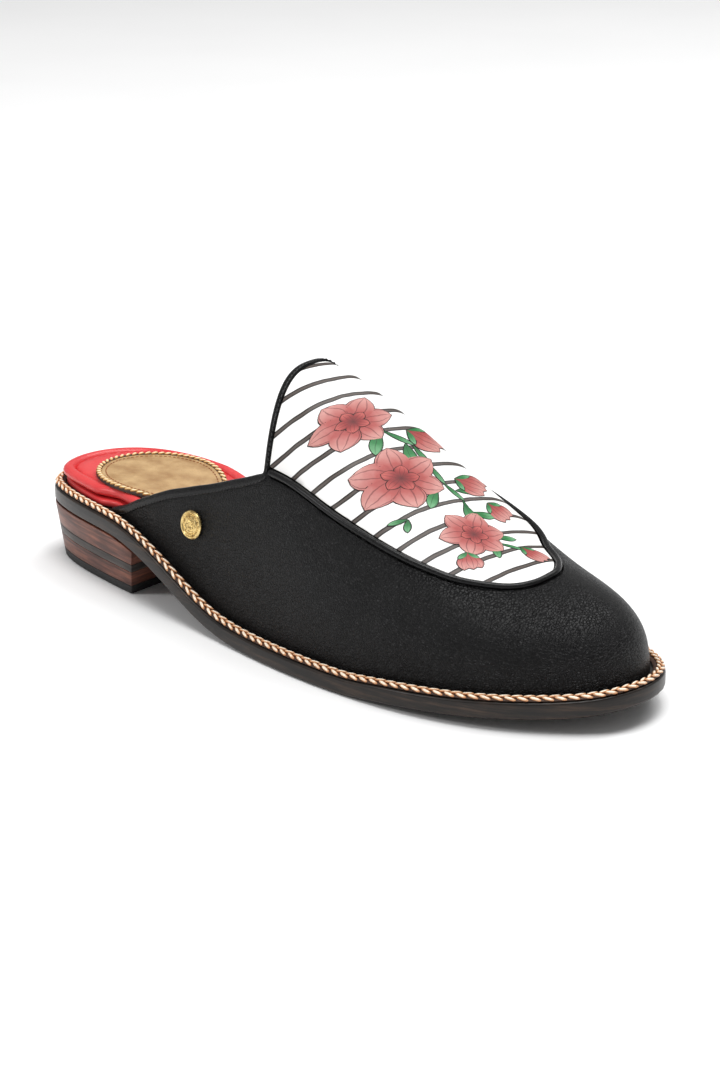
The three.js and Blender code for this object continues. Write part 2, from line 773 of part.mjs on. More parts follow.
/** Rolled binding along the top edge of one wing, ending just short of the throat corner. */
function toplineBindingGeometry(side) {
  const above = bindingRadius + joinGap;
  const edgePoint = (along) => underSkin(side, along, wallTop(side, along), upperWall / 2);
  const place = (along) => {
    const tangent = edgePoint(along + 0.01).sub(edgePoint(along - 0.01));
    const outwards = tangent.cross(skinNormal(side, along, wallTop(side, along))).normalize();
    return edgePoint(along).addScaledVector(outwards, outwards.z > 0 ? above : -above);
  };
  return tubeAlong(spread(-0.97, -0.06, 12).map(place), bindingRadius, 26);
}

/** Round metal stud on the outer wing: a low dome on a stepped rim, its axis along the skin. */
function studMesh(material) {
  const profile = [
    [0, 0], [0.94, 0], [1, 0.25], [0.97, 0.7], [0.84, 0.8], [0.76, 0.62], [0.45, 0.8], [0, 1],
  ].map(([across, up]) => new THREE.Vector2(across * studRadius, up * studThickness));
  const geometry = new THREE.LatheGeometry(profile, 24);
  const along = (lengthAtX(outerSide, studFromHeel) - throatLength[outerSide])
    / (throatLength[outerSide] - wingLength[outerSide]);
  let up = 0;
  while (skinPoint(outerSide, along, up).z < soleTop(studFromHeel) + studRise) up += 0.002;
  const normal = skinNormal(outerSide, along, up);
  const mesh = new THREE.Mesh(geometry, material);
  mesh.position.copy(skinPoint(outerSide, along, up)).addScaledVector(normal, joinGap);
  mesh.quaternion.setFromUnitVectors(new THREE.Vector3(0, 1, 0), normal);
  return mesh;
}

/** Material from a colour, a roughness and a metalness. */
function finish(color, roughness, metalness = 0) {
  return new THREE.MeshStandardMaterial({ color, roughness, metalness });
}

const blackLeather = finish("#1b1b1c", 0.42);
const plugLeather = finish("#f7f5f3", 0.5);
const redLeather = finish("#d9383a", 0.4);
const tanLeather = finish("#d8b98c", 0.55);
const plaitedLeather = finish("#c98d5f", 0.5);
const soleLeather = finish("#2b2a29", 0.55);
const stackedLeather = finish("#7a4a38", 0.5);
const spacerLeather = finish("#4a4745", 0.55);
const heelRubber = finish("#1a1a1a", 0.7);
const goldMetal = finish("#d6b46a", 0.3, 1);

const shoe = new THREE.Group();

/** Adds one named piece to the shoe. */
function add(name, geometry, material) {
  const mesh = geometry instanceof THREE.Mesh ? geometry : new THREE.Mesh(geometry, material);
  mesh.name = name;
  shoe.add(mesh);
}

const lowerLiftBottom = topPieceThickness + layerGap;
const spacerBottom = lowerLiftBottom + lowerLiftThickness + layerGap;
const upperLiftBottom = spacerBottom + spacerThickness + layerGap;

add("outsole", outsoleGeometry(), soleLeather);
add("heel_top_piece", heelLayerGeometry(0, topPieceThickness), heelRubber);
add("heel_lower_lift", heelLayerGeometry(lowerLiftBottom, spacerBottom - layerGap), stackedLeather);
add("heel_spacer", heelLayerGeometry(spacerBottom, upperLiftBottom - layerGap), spacerLeather);
add("heel_upper_lift", upperLiftGeometry(upperLiftBottom), stackedLeather);
add("welt", weltGeometry(), plaitedLeather);
add("insole_board", boardGeometry(), redLeather);
add("footbed", footbedGeometry(), redLeather);
add("heel_patch", heelPatchGeometry(), tanLeather);
add("upper", upperGeometry(), blackLeather);
add("vamp_plug", plugGeometry(), plugLeather);
add("plug_piping", pipingGeometry(), blackLeather);
add("tongue_binding", tongueBindingGeometry(), blackLeather);
add("topline_binding_outer", toplineBindingGeometry(outerSide), blackLeather);
add("topline_binding_inner", toplineBindingGeometry(innerSide), blackLeather);
add("side_stud", studMesh(goldMetal));

// The middle of the footprint becomes the origin; the heel and the ball stay on the floor
const box = new THREE.Box3().setFromObject(shoe);
const middle = box.getCenter(new THREE.Vector3());
shoe.position.set(-middle.x, -middle.y, -box.min.z);

const slipper = new THREE.Group();
slipper.add(shoe);

export default slipper;
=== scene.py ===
"""Looks of a babouche slipper, right foot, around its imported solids.

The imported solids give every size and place. This script dresses them: the black upper, the
striped and flowered plug, bound edges with their stitches, the plaited welt, the padded red footbed
with its tan heel patch, the stacked heel and the metal stud. Lengths in the tables are millimetres
in the part's frame; the meshes are metres.
"""

import logging
import math
from dataclasses import dataclass
from enum import Enum
from typing import Callable, Iterable, Sequence

import bpy
import numpy as np
from mathutils import Matrix, Vector
from mathutils.bvhtree import BVHTree

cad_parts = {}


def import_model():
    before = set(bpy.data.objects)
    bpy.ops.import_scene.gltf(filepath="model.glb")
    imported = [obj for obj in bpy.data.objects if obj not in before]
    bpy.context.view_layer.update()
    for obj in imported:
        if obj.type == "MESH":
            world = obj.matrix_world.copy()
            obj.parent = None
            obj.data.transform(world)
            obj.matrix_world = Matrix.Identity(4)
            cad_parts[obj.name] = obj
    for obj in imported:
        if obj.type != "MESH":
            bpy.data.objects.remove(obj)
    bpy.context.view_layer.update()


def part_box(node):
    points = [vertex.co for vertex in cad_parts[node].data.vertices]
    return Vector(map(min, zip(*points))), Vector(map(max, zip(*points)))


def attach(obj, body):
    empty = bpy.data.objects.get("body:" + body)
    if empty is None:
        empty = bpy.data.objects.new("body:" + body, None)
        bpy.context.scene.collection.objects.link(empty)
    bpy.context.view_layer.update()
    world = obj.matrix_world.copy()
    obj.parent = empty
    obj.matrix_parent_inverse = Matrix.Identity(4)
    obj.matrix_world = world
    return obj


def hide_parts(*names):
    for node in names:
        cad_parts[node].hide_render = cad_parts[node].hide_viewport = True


log = logging.getLogger("slipper")
MM = 0.001
BODY = "root"


class Slot(Enum):
    """Material slots of the record, listed beside the heel's pieces; no piece takes its finish from
    them here.
    """

    SOLE = "sole_leather"
    RUBBER = "heel_rubber"
    STACK = "stacked_leather"
    SPACER = "spacer_leather"
    WELT = "plaited_welt"
    RED = "red_leather"
    TAN = "tan_leather"
    BLACK = "black_leather"
    PLUG = "plug_fabric"
    GOLD = "gold_metal"


def linear(hex_code: str) -> tuple[float, float, float, float]:
    """Turns an sRGB hex colour into the linear values that shaders use.

    Args:
        hex_code: Colour such as "#d9383a".

    Returns:
        Linear red, green and blue with an alpha of 1.
    """
    parts = [int(hex_code[i : i + 2], 16) / 255 for i in (1, 3, 5)]
    red, green, blue = (c / 12.92 if c <= 0.04045 else ((c + 0.055) / 1.055) ** 2.4 for c in parts)
    return red, green, blue, 1.0


class Paint:
    """One material in the making: its nodes, its Principled shader and its place in the part."""

    def __init__(self, name: str) -> None:
        """Starts a material with only a Principled shader.

        Args:
            name: Name of the material.
        """
        self.material = bpy.data.materials.new(name)
        self.material.use_nodes = True
        self.tree = self.material.node_tree
        self.shader = next(node for node in self.tree.nodes if node.type == "BSDF_PRINCIPLED")
        self.place = self.add("TexCoord").outputs["Object"]

    def feed(self, node: bpy.types.Node, feeds: dict[str | int, object]) -> None:
        """Links sockets to a node's inputs and sets plain values on them."""
        for name, value in feeds.items():
            if isinstance(value, bpy.types.NodeSocket):
                self.tree.links.new(value, node.inputs[name])
            else:
                node.inputs[name].default_value = value

    def add(
        self, kind: str, feeds: dict[str | int, object] | None = None, **settings: object
    ) -> bpy.types.Node:
        """Adds one shader node.

        Args:
            kind: Node type without its ShaderNode prefix.
            feeds: Input names or numbers, each with the output or the plain value that it takes.
            settings: Attributes of the node itself.

        Returns:
            The new node.
        """
        node = self.tree.nodes.new("ShaderNode" + kind)
        for name, value in settings.items():
            setattr(node, name, value)
        self.feed(node, feeds or {})
        return node

    def noise(self, scale: float, detail: float, **more: object) -> bpy.types.NodeSocket:
        """Adds a noise over the part; more inputs go by name."""
        feeds = {"Vector": self.place, "Scale": scale, "Detail": detail, **more}
        return self.add("TexNoise", feeds).outputs["Fac"]

    def calc(
        self, operation: str, *terms: bpy.types.NodeSocket | float
    ) -> bpy.types.NodeSocket:
        """Adds one sum over outputs and plain numbers."""
        node = self.add("Math", dict(enumerate(terms)), operation=operation)
        return node.outputs["Value"]

    def spread(
        self, value: bpy.types.NodeSocket, limits: dict[str, float]
    ) -> bpy.types.NodeSocket:
        """Maps a value from one range to another, 0 to 1 where no limit is given."""
        return self.add("MapRange", {"Value": value, **limits}).outputs["Result"]

    def ramp(
        self, factor: bpy.types.NodeSocket, stops: Sequence[tuple[float, str]]
    ) -> bpy.types.NodeSocket:
        """Maps a value from 0 to 1 to hex colours, each with its place on the ramp."""
        node = self.add("ValToRGB", {"Fac": factor})
        elements = node.color_ramp.elements
        while len(elements) < len(stops):
            elements.new(1.0)
        for element, (place, colour) in zip(elements, stops):
            element.position = place
            element.color = linear(colour)
        return node.outputs["Color"]

    def stain(
        self, share: bpy.types.NodeSocket, colour: bpy.types.NodeSocket, stain: str
    ) -> bpy.types.NodeSocket:
        """Mixes a plain hex colour into another by a share."""
        feeds = {0: share, 6: colour, 7: linear(stain)}
        return self.add("Mix", feeds, data_type="RGBA").outputs[2]

    def bump(self, height: bpy.types.NodeSocket, strength: float, relief_mm: float) -> None:
        """Gives the surface a relief."""
        feeds = {"Height": height, "Strength": strength, "Distance": relief_mm * MM}
        self.feed(self.shader, {"Normal": self.add("Bump", feeds).outputs["Normal"]})

    def finish(self, **feeds: object) -> bpy.types.Material:
        """Sets the shader's inputs, named with low lines for spaces, and gives the material."""
        self.feed(self.shader, {name.replace("_", " "): value for name, value in feeds.items()})
        return self.material


@dataclass(frozen=True)
class GrainedLeather:
    """Leather with a fine pebbled grain, dyed through and lightly waxed.

    The grain breaks the highlight into fine specks and the wax leaves a soft, broad sheen.
    """

    name: str
    dark: str
    light: str
    roughness: float
    grain_mm: float
    relief_mm: float
    cloud_mm: float = 18.0
    coat: float = 0.0
    specular: float = 0.5

    def build(self) -> bpy.types.Material:
        """Makes the material."""
        paint = Paint(self.name)
        grain = self.grain_mm * MM
        cloud = paint.noise(1 / (self.cloud_mm * MM), 3.0, Roughness=0.6)
        # Warped cells make pebbles of uneven size, as a natural grain has
        warp = paint.add("TexNoise", {"Vector": paint.place, "Scale": 0.4 / grain, "Detail": 2.0})
        bent = paint.add(
            "VectorMath",
            {0: warp.outputs["Color"], 1: (grain * 1.6,) * 3, 2: paint.place},
            operation="MULTIPLY_ADD",
        )
        cells = paint.add(
            "TexVoronoi",
            {"Vector": bent.outputs["Vector"], "Scale": 1 / grain},
            feature="DISTANCE_TO_EDGE",
        )
        pores = paint.noise(2.6 / grain, 2.0)
        pebble = paint.spread(cells.outputs["Distance"], {"From Max": 0.16})
        paint.bump(paint.calc("MULTIPLY_ADD", pores, 0.55, pebble), 0.75, self.relief_mm)
        limits = {"To Min": self.roughness - 0.08, "To Max": self.roughness + 0.14}
        return paint.finish(
            Base_Color=paint.ramp(cloud, [(0.32, self.dark), (0.7, self.light)]),
            Roughness=paint.spread(pores, limits),
            IOR=1.5,
            Specular_IOR_Level=self.specular,
            Coat_Weight=self.coat,
            Coat_Roughness=0.16,
        )


@dataclass(frozen=True)
class StripedCalf:
    """White coated calf with thin hand-drawn stripes across the tongue and a soft gloss."""

    name: str = "striped_white_calf"
    ground: str = "#fbfaf8"
    core: str = "#544b46"
    rim: str = "#120f0e"
    pitch_mm: float = 8.1
    width_mm: float = 1.5
    # Stripes counted per millimetre along x, y and z, per square millimetre of y, and at the origin
    slope: tuple[float, float, float] = (0.0865, -0.0168, -0.0872)
    arch: float = -0.00057
    first: float = 9.64

    def build(self) -> bpy.types.Material:
        """Makes the material: each stripe is a dark line with a paler core."""
        paint = Paint(self.name)
        along = paint.add(
            "VectorMath",
            {0: paint.place, 1: tuple(share / MM for share in self.slope)},
            operation="DOT_PRODUCT",
        ).outputs["Value"]
        across = paint.add("SeparateXYZ", {"Vector": paint.place}).outputs["Y"]
        square = paint.calc("MULTIPLY", across, across)
        arched = paint.calc("MULTIPLY_ADD", square, self.arch / MM**2, along)
        drawn = paint.calc("MULTIPLY_ADD", paint.noise(1 / (9 * MM), 1.0), 0.12, arched)
        wave = paint.calc("PINGPONG", paint.calc("ADD", drawn, self.first), 0.5)
        half = self.width_mm / self.pitch_mm / 2
        stops = [
            (0.0, self.core),
            (half * 0.45, self.core),
            (half * 0.7, self.rim),
            (half, self.rim),
            (half * 1.25, self.ground),
        ]
        paint.bump(paint.noise(1 / (0.7 * MM), 2.0), 0.35, 0.05)
        return paint.finish(
            Base_Color=paint.ramp(wave, stops), Roughness=0.42, Specular_IOR_Level=0.3
        )


@dataclass(frozen=True)
class PrintInk:
    """Screen ink on the calf, its tone running from the root to the tip of each motif."""

    name: str
    root: str
    middle: str
    tip: str
    vein: str
    veins: float = 3.0

    def build(self) -> bpy.types.Material:
        """Makes the material from the motif's own UV map: v runs along it and u across."""
        paint = Paint(self.name)
        axes = paint.add("SeparateXYZ", {"Vector": paint.add("UVMap").outputs["UV"]}).outputs
        blot = paint.noise(1 / (3.2 * MM), 2.0)
        tone = paint.calc("MULTIPLY_ADD", blot, 0.28, axes["Y"])
        colour = paint.ramp(tone, [(0.15, self.root), (0.6, self.middle), (1.0, self.tip)])
        fan = paint.calc("MULTIPLY_ADD", blot, 0.12, axes["X"])
        wave = paint.calc("PINGPONG", paint.calc("MULTIPLY", fan, self.veins), 0.5)
        line = paint.spread(
            wave, {"From Min": 0.03, "From Max": 0.1, "To Min": 0.65, "To Max": 0.0}
        )
        return paint.finish(
            Base_Color=paint.stain(line, colour, self.vein),
            Roughness=0.45,
            Specular_IOR_Level=0.25,
        )


@dataclass(frozen=True)
class StackedLeather:
    """Layers of sole leather, burnished so that thin level streaks run round the heel."""

    name: str
    dark: str
    middle: str
    light: str
    roughness: float = 0.42
    streak_mm: float = 1.5

    def build(self) -> bpy.types.Material:
        """Makes the material with streaks that are long in plan and thin in height."""
        paint = Paint(self.name)
        flat = paint.add("Mapping", {"Vector": paint.place, "Scale": (0.06, 0.06, 1.0)})
        streak = paint.noise(
            1 / (self.streak_mm * MM), 5.0, Roughness=0.7, Vector=flat.outputs["Vector"]
        )
        colour = paint.ramp(streak, [(0.38, self.dark), (0.5, self.middle), (0.64, self.light)])
        shade = paint.spread(
            paint.noise(1 / (9 * MM), 2.0),
            {"From Min": 0.35, "From Max": 0.7, "To Min": 0.0, "To Max": 0.55},
        )
        paint.bump(streak, 0.5, 0.12)
        return paint.finish(
            Base_Color=paint.stain(shade, colour, self.dark),
            Roughness=self.roughness,
            Specular_IOR_Level=0.32,
        )


@dataclass(frozen=True)
class WaxedCord:
    """Waxed copper cord: painted cream highlight on the crowns, painted shade in the pits."""

    name: str
    crown: str
    shoulder_highlight: str
    flank: str
    pit_shade: str
    roughness: float = 0.32

    def build(self) -> bpy.types.Material:
        """Makes the material from the height kept in each strand's points: painted highlight high,
        painted shade low.
        """
        paint = Paint(self.name)
        height = paint.add("Attribute", attribute_name="crown").outputs["Fac"]
        fibre = paint.noise(1 / (1.1 * MM), 3.0)
        tone = paint.calc("MULTIPLY_ADD", fibre, 0.3, height)
        # pit is painted shade; shoulder and crown are painted highlight over the copper flank
        stops = [(0.3, self.pit_shade), (0.62, self.flank), (0.9, self.shoulder_highlight), (1.0, self.crown)]
        paint.bump(fibre, 0.4, 0.08)
        return paint.finish(
            Base_Color=paint.ramp(tone, stops), Roughness=self.roughness, IOR=1.5
        )


@dataclass(frozen=True)
class CastBrass:
    """Cast and polished brass with faint patches of tarnish."""

    name: str = "polished_brass"
    bright: str = "#e6c988"
    tarnish: str = "#8f7040"

    def build(self) -> bpy.types.Material:
        """Makes the material."""
        paint = Paint(self.name)
        patina = paint.noise(1 / (1.2 * MM), 4.0)
        paint.bump(patina, 0.5, 0.06)
        return paint.finish(
            Base_Color=paint.ramp(patina, [(0.3, self.tarnish), (0.52, self.bright)]),
            Roughness=paint.spread(patina, {"To Min": 0.38, "To Max": 0.16}),
            Metallic=1.0,
        )


@dataclass(frozen=True)
class StudioPaper:
    """Matt pale paper for the floor, barely mottled."""

    name: str = "studio_paper"
    shade: str = "#f8f8f8"
    tone: str = "#fbfbfb"

    def build(self) -> bpy.types.Material:
        """Makes the material."""
        paint = Paint(self.name)
        mottle = paint.add("TexNoise", {"Vector": paint.place, "Scale": 9.0}).outputs["Fac"]
        colour = paint.ramp(mottle, [(0.2, self.shade), (0.8, self.tone)])
        return paint.finish(Base_Color=colour, Roughness=0.9)


def select_only(obj: bpy.types.Object | None) -> None:
    """Leaves one object selected and active, or none.

    Args:
        obj: Object to select, or None to clear the selection.
    """
    if bpy.context.mode != "OBJECT":
        bpy.ops.object.mode_set(mode="OBJECT")
    bpy.ops.object.select_all(action="DESELECT")
    if obj is not None:
        obj.select_set(True)
        bpy.context.view_layer.objects.active = obj


def coordinates(obj: bpy.types.Object) -> np.ndarray:
    """Reads a mesh's vertices as an array of points in metres."""
    points = np.zeros(len(obj.data.vertices) * 3)
    obj.data.vertices.foreach_get("co", points)
    return points.reshape(-1, 3)


def lay_points(obj: bpy.types.Object, points: np.ndarray) -> None:
    """Puts a mesh's vertices at new points in metres."""
    obj.data.vertices.foreach_set("co", np.asarray(points, float).ravel())
    obj.data.update()


def in_edit(obj: bpy.types.Object, *steps: Callable[[], object]) -> None:
    """Runs operators in edit mode on the whole mesh.

    Args:
        obj: Object to edit.
        steps: Operator calls without arguments, in order.
    """
    select_only(obj)
    bpy.ops.object.mode_set(mode="EDIT")
    bpy.ops.mesh.select_all(action="SELECT")
    for step in steps:
        step()
    bpy.ops.object.mode_set(mode="OBJECT")


def weld(obj: bpy.types.Object, distance: float = 1e-6, outwards: bool = True) -> None:
    """Merges doubled vertices and turns the faces outwards."""
    steps = [lambda: bpy.ops.mesh.remove_doubles(threshold=distance)]
    if outwards:
        steps.append(lambda: bpy.ops.mesh.normals_make_consistent(inside=False))
    in_edit(obj, *steps)


def smooth(obj: bpy.types.Object, degrees: float) -> None:
    """Shades an object smooth, with edges sharper than an angle kept."""
    select_only(obj)
    bpy.ops.object.shade_smooth_by_angle(angle=math.radians(degrees))


def apply_modifier(obj: bpy.types.Object, kind: str, **settings: object) -> None:
    """Adds a modifier with its settings and applies it at once.

    Args:
        obj: Object to change.
        kind: Modifier type, such as "BEVEL".
        settings: Attributes of the modifier.
    """
    select_only(obj)
    modifier = obj.modifiers.new(kind.lower(), kind)
    for name, value in settings.items():
        setattr(modifier, name, value)
    bpy.ops.object.modifier_apply(modifier=modifier.name)


def laid_grid(name: str, points: np.ndarray) -> bpy.types.Object:
    """Lays a grid over a form, row by row, and keeps the grid's own UV map.

    Args:
        name: Name of the piece.
        points: Array of rows, columns and three coordinates in millimetres.

    Returns:
        The new object, its seams not yet welded.
    """
    rows, columns = points.shape[:2]
    select_only(None)
    bpy.ops.mesh.primitive_grid_add(x_subdivisions=columns - 1, y_subdivisions=rows - 1, size=1)
    grid = bpy.context.object
    grid.name = name
    grid.data.name = name
    lay_points(grid, points.reshape(-1, 3) * MM)
    return grid


def joined(name: str, objects: Sequence[bpy.types.Object]) -> bpy.types.Object:
    """Joins objects into one and names it."""
    select_only(None)
    for obj in objects:
        obj.select_set(True)
    bpy.context.view_layer.objects.active = objects[0]
    if len(objects) > 1:
        bpy.ops.object.join()
    result = bpy.context.view_layer.objects.active
    result.name = name
    result.data.name = name
    return result


def refined_copy(node: str, name: str, levels: int, crease: float = 38.0) -> bpy.types.Object:
    """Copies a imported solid, merges its triangles into quads and rounds it, its sharp edges kept.

    Args:
        node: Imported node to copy.
        name: Name of the new piece.
        levels: Number of subdivisions.
        crease: Angle in degrees past which an edge stays sharp.

    Returns:
        The new object.
    """
    source = bpy.data.objects[node]
    copy = bpy.data.objects.new(name, source.data.copy())
    bpy.context.scene.collection.objects.link(copy)
    copy.data.materials.clear()
    copy.data.name = name
    in_edit(
        copy,
        lambda: bpy.ops.mesh.remove_doubles(threshold=2e-6),
        lambda: bpy.ops.mesh.customdata_custom_splitnormals_clear(),
        lambda: bpy.ops.mesh.tris_convert_to_quads(
            face_threshold=math.radians(50), shape_threshold=math.radians(70)
        ),
    )
    sharp = sharp_edges(copy, math.radians(crease))
    creases = copy.data.attributes.new("crease_edge", "FLOAT", "EDGE")
    creases.data.foreach_set("value", sharp.astype(np.float32))
    if levels:
        apply_modifier(copy, "SUBSURF", levels=levels, render_levels=levels)
    return copy


def sharp_edges(obj: bpy.types.Object, angle: float) -> np.ndarray:
    """Finds the edges where two faces meet past an angle.

    Args:
        obj: Mesh object.
        angle: Angle in radians.

    Returns:
        One number per edge, 0.9 where it is sharp and 0 elsewhere.
    """
    mesh = obj.data
    normals = [polygon.normal.copy() for polygon in mesh.polygons]
    faces_at: dict[tuple[int, int], list[int]] = {}
    for polygon in mesh.polygons:
        for key in polygon.edge_keys:
            faces_at.setdefault(key, []).append(polygon.index)
    result = np.zeros(len(mesh.edges))
    for edge in mesh.edges:
        faces = faces_at.get(tuple(sorted(edge.vertices)), [])
        if len(faces) == 2 and normals[faces[0]].angle(normals[faces[1]], 0.0) > angle:
            result[edge.index] = 0.9
    return result


def dress(
    obj: bpy.types.Object,
    finish: bpy.types.Material,
    replaces: Iterable[str] = (),
) -> bpy.types.Object:
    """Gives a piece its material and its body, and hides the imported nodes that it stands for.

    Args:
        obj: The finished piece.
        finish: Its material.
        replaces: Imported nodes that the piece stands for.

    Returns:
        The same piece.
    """
    if not obj.data.materials:
        obj.data.materials.append(finish)
    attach(obj, BODY)
    for node in replaces:
        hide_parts(node)
    log.info("%s: %d faces", obj.name, len(obj.data.polygons))
    return obj


def monotone(xs: Sequence[float], ys: Sequence[float]) -> Callable[[np.ndarray], np.ndarray]:
    """Smooth curve through points that never overshoots them.

    Args:
        xs: Rising places.
        ys: Values there.

    Returns:
        A function of an array of places.
    """
    x, y = np.asarray(xs, float), np.asarray(ys, float)
    step, slope = np.diff(x), np.diff(y) / np.diff(x)
    tangent = np.concatenate([[slope[0]], np.zeros(len(x) - 2), [slope[-1]]])
    for i in range(1, len(x) - 1):
        if slope[i - 1] * slope[i] > 0:
            weight = (step[i - 1] + 2 * step[i]) / (3 * (step[i - 1] + step[i]))
            tangent[i] = 1 / (weight / slope[i - 1] + (1 - weight) / slope[i])

    def value(at: np.ndarray) -> np.ndarray:
        """Reads the curve at an array of places."""
        at = np.clip(at, x[0], x[-1])
        i = np.clip(np.searchsorted(x, at, side="right") - 1, 0, len(x) - 2)
        h = step[i]
        u = (at - x[i]) / h
        start = (1 + 2 * u) * (1 - u) ** 2 * y[i] + u * (1 - u) ** 2 * h * tangent[i]
        return start + u * u * (3 - 2 * u) * y[i + 1] + u * u * (u - 1) * h * tangent[i + 1]

    return value


def closed_spline(knots: np.ndarray, values: np.ndarray) -> Callable[[np.ndarray], np.ndarray]:
    """Cubic spline that closes on itself.

    Args:
        knots: Rising curve values, the last standing for the first.
        values: Values at the knots, first and last alike.

    Returns:
        A function of an array of curve values.
    """
    span, slope = np.diff(knots), np.diff(values) / np.diff(knots)
    count = len(span)
    matrix, right = np.zeros((count, count)), np.zeros(count)
    for i in range(count):
        matrix[i, i - 1] += span[i - 1]
        matrix[i, i] += 2 * (span[i - 1] + span[i])
        matrix[i, (i + 1) % count] += span[i]
        right[i] = 6 * (slope[i] - slope[i - 1])
    bend = np.linalg.solve(matrix, right)
    bend = np.append(bend, bend[0])

    def value(at: np.ndarray) -> np.ndarray:
        """Reads the spline at an array of curve values."""
        i = np.clip(np.searchsorted(knots, at, side="right") - 1, 0, count - 1)
        h = span[i]
        a, b = (knots[i + 1] - at) / h, (at - knots[i]) / h
        curve = ((a**3 - a) * bend[i] + (b**3 - b) * bend[i + 1]) * h * h / 6
        return a * values[i] + b * values[i + 1] + curve

    return value


@dataclass(frozen=True)
class SoleForm:
    """Plan and side line of the sole, as the solids have them, in millimetres."""

    length: float = 253.4
    heel_width: float = 59.0
    waist_width: float = 63.6
    ball_width: float = 89.5
    thickness: float = 5.6
    toe_spring: float = 8.0
    heel_height: float = 21.2
    # Share of the length, then the outer and inner side as shares of a named width
    plan: tuple[tuple[float, float, float, str], ...] = (
        (0.014, 0.232, 0.218, "heel_width"),
        (0.047, 0.345, 0.375, "heel_width"),
        (0.102, 0.43, 0.475, "heel_width"),
        (0.174, 0.502, 0.498, "heel_width"),
        (0.245, 0.556, 0.49, "heel_width"),
        (0.38, 0.591, 0.412, "waist_width"),
        (0.514, 0.483, 0.397, "ball_width"),
        (0.648, 0.513, 0.487, "ball_width"),
        (0.773, 0.485, 0.458, "ball_width"),
        (0.876, 0.393, 0.371, "ball_width"),
        (0.948, 0.265, 0.257, "ball_width"),
        (0.985, 0.156, 0.145, "ball_width"),
    )
    # Share of the length, then the height as a share of the heel's height or the toe spring
    heel_line: tuple[tuple[float, float], ...] = (
        (0, 1),
        (0.141, 1),
        (0.192, 0.98),
        (0.227, 0.91),
        (0.262, 0.78),
        (0.303, 0.58),
        (0.343, 0.36),
        (0.384, 0.17),
        (0.424, 0.055),
        (0.475, 0.008),
        (0.515, 0),
    )
    toe_line: tuple[tuple[float, float], ...] = (
        (0.646, 0),
        (0.727, 0.19),
        (0.793, 0.32),
        (0.866, 0.48),
        (0.938, 0.67),
        (0.968, 0.8),
        (1, 1),
    )

    def underside(self) -> Callable[[np.ndarray], np.ndarray]:
        """Height of the outsole's underside as a function of the distance from the heel."""
        places = [at * self.length for at, _ in (*self.heel_line, *self.toe_line)]
        heights = [share * self.heel_height for _, share in self.heel_line]
        heights += [share * self.toe_spring for _, share in self.toe_line]
        return monotone(places, heights)

    def loop(self, count: int) -> np.ndarray:
        """Plan outline as a closed loop of points, evenly spaced, from the heel by the outer side.

        Args:
            count: Number of points.

        Returns:
            Array of points with their outward directions, four numbers a row, in the part's frame.
        """
        outer = [(at * self.length, -o * getattr(self, w)) for at, o, _, w in self.plan]
        inner = [(at * self.length, i * getattr(self, w)) for at, _, i, w in self.plan]
        corners = np.array([(0, 0), *outer, (self.length, 0), *inner[::-1], (0, 0)], float)
        knots = np.concatenate(
            [[0], np.cumsum(np.sqrt(np.linalg.norm(np.diff(corners, axis=0), axis=1)))]
        )
        at = np.linspace(0, knots[-1], 4001)[:-1]
        x, y = closed_spline(knots, corners[:, 0])(at), closed_spline(knots, corners[:, 1])(at)
        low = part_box("outsole")[0] / MM
        line = np.stack([x - x.min() + low.x, y - y.min() + low.y], 1)
        ring = np.vstack([line, line[:1]])
        lengths = np.concatenate([[0], np.cumsum(np.linalg.norm(np.diff(ring, axis=0), axis=1))])
        even = np.linspace(0, lengths[-1], count + 1)[:-1]
        points = np.stack([np.interp(even, lengths, ring[:, k]) for k in (0, 1)], 1)
        along = np.roll(points, -1, axis=0) - np.roll(points, 1, axis=0)
        along /= np.linalg.norm(along, axis=1)[:, None]
        return np.hstack([points, along[:, 1:2], -along[:, 0:1]])

    def top(self, x: np.ndarray) -> np.ndarray:
        """Height of the outsole's top at places along the part's X."""
        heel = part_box("outsole")[0].x / MM
        return self.underside()(np.asarray(x) - heel) + self.thickness

    def ring(self, count: int, inset: np.ndarray | float, lift: float) -> np.ndarray:
        """Closed ring at an inset from the sole's edge and a lift over its top."""
        loop = self.loop(count)
        points = loop[:, :2] - loop[:, 2:] * np.reshape(inset, (-1, 1))
        return np.column_stack([points, self.top(points[:, 0]) + lift])


def strewn(
    name: str,
    model: bpy.types.Object,
    frames: Sequence[Matrix],
) -> bpy.types.Object:
    """Copies one modelled piece to many places as a single mesh, and removes the model.

    Args:
        name: Name of the joined mesh.
        model: The piece to copy, modelled at the origin in metres.
        frames: Placement of each copy.

    Returns:
        The joined object.
    """
    source = coordinates(model)
    faces = [tuple(p.vertices) for p in model.data.polygons]
    # Height share of each point, kept as crown, from which the cord's painted highlight and shade
    # are read
    crown = source[:, 2] / max(source[:, 2].max(), 1e-9) * 0.45 + 0.45
    points, polygons = [], []
    for i, frame in enumerate(frames):
        matrix = np.array(frame)
        points.append(source @ matrix[:3, :3].T + matrix[:3, 3])
        polygons += [tuple(v + i * len(source) for v in face) for face in faces]
    mesh = bpy.data.meshes.new(name)
    mesh.from_pydata(np.vstack(points).tolist(), [], polygons)
    heights = mesh.attributes.new("crown", "FLOAT", "POINT")
    heights.data.foreach_set("value", np.tile(crown, len(frames)).astype(np.float32))
    mesh.polygons.foreach_set("use_smooth", [True] * len(polygons))
    result = bpy.data.objects.new(name, mesh)
    bpy.context.scene.collection.objects.link(result)
    bpy.data.objects.remove(model)
    return result


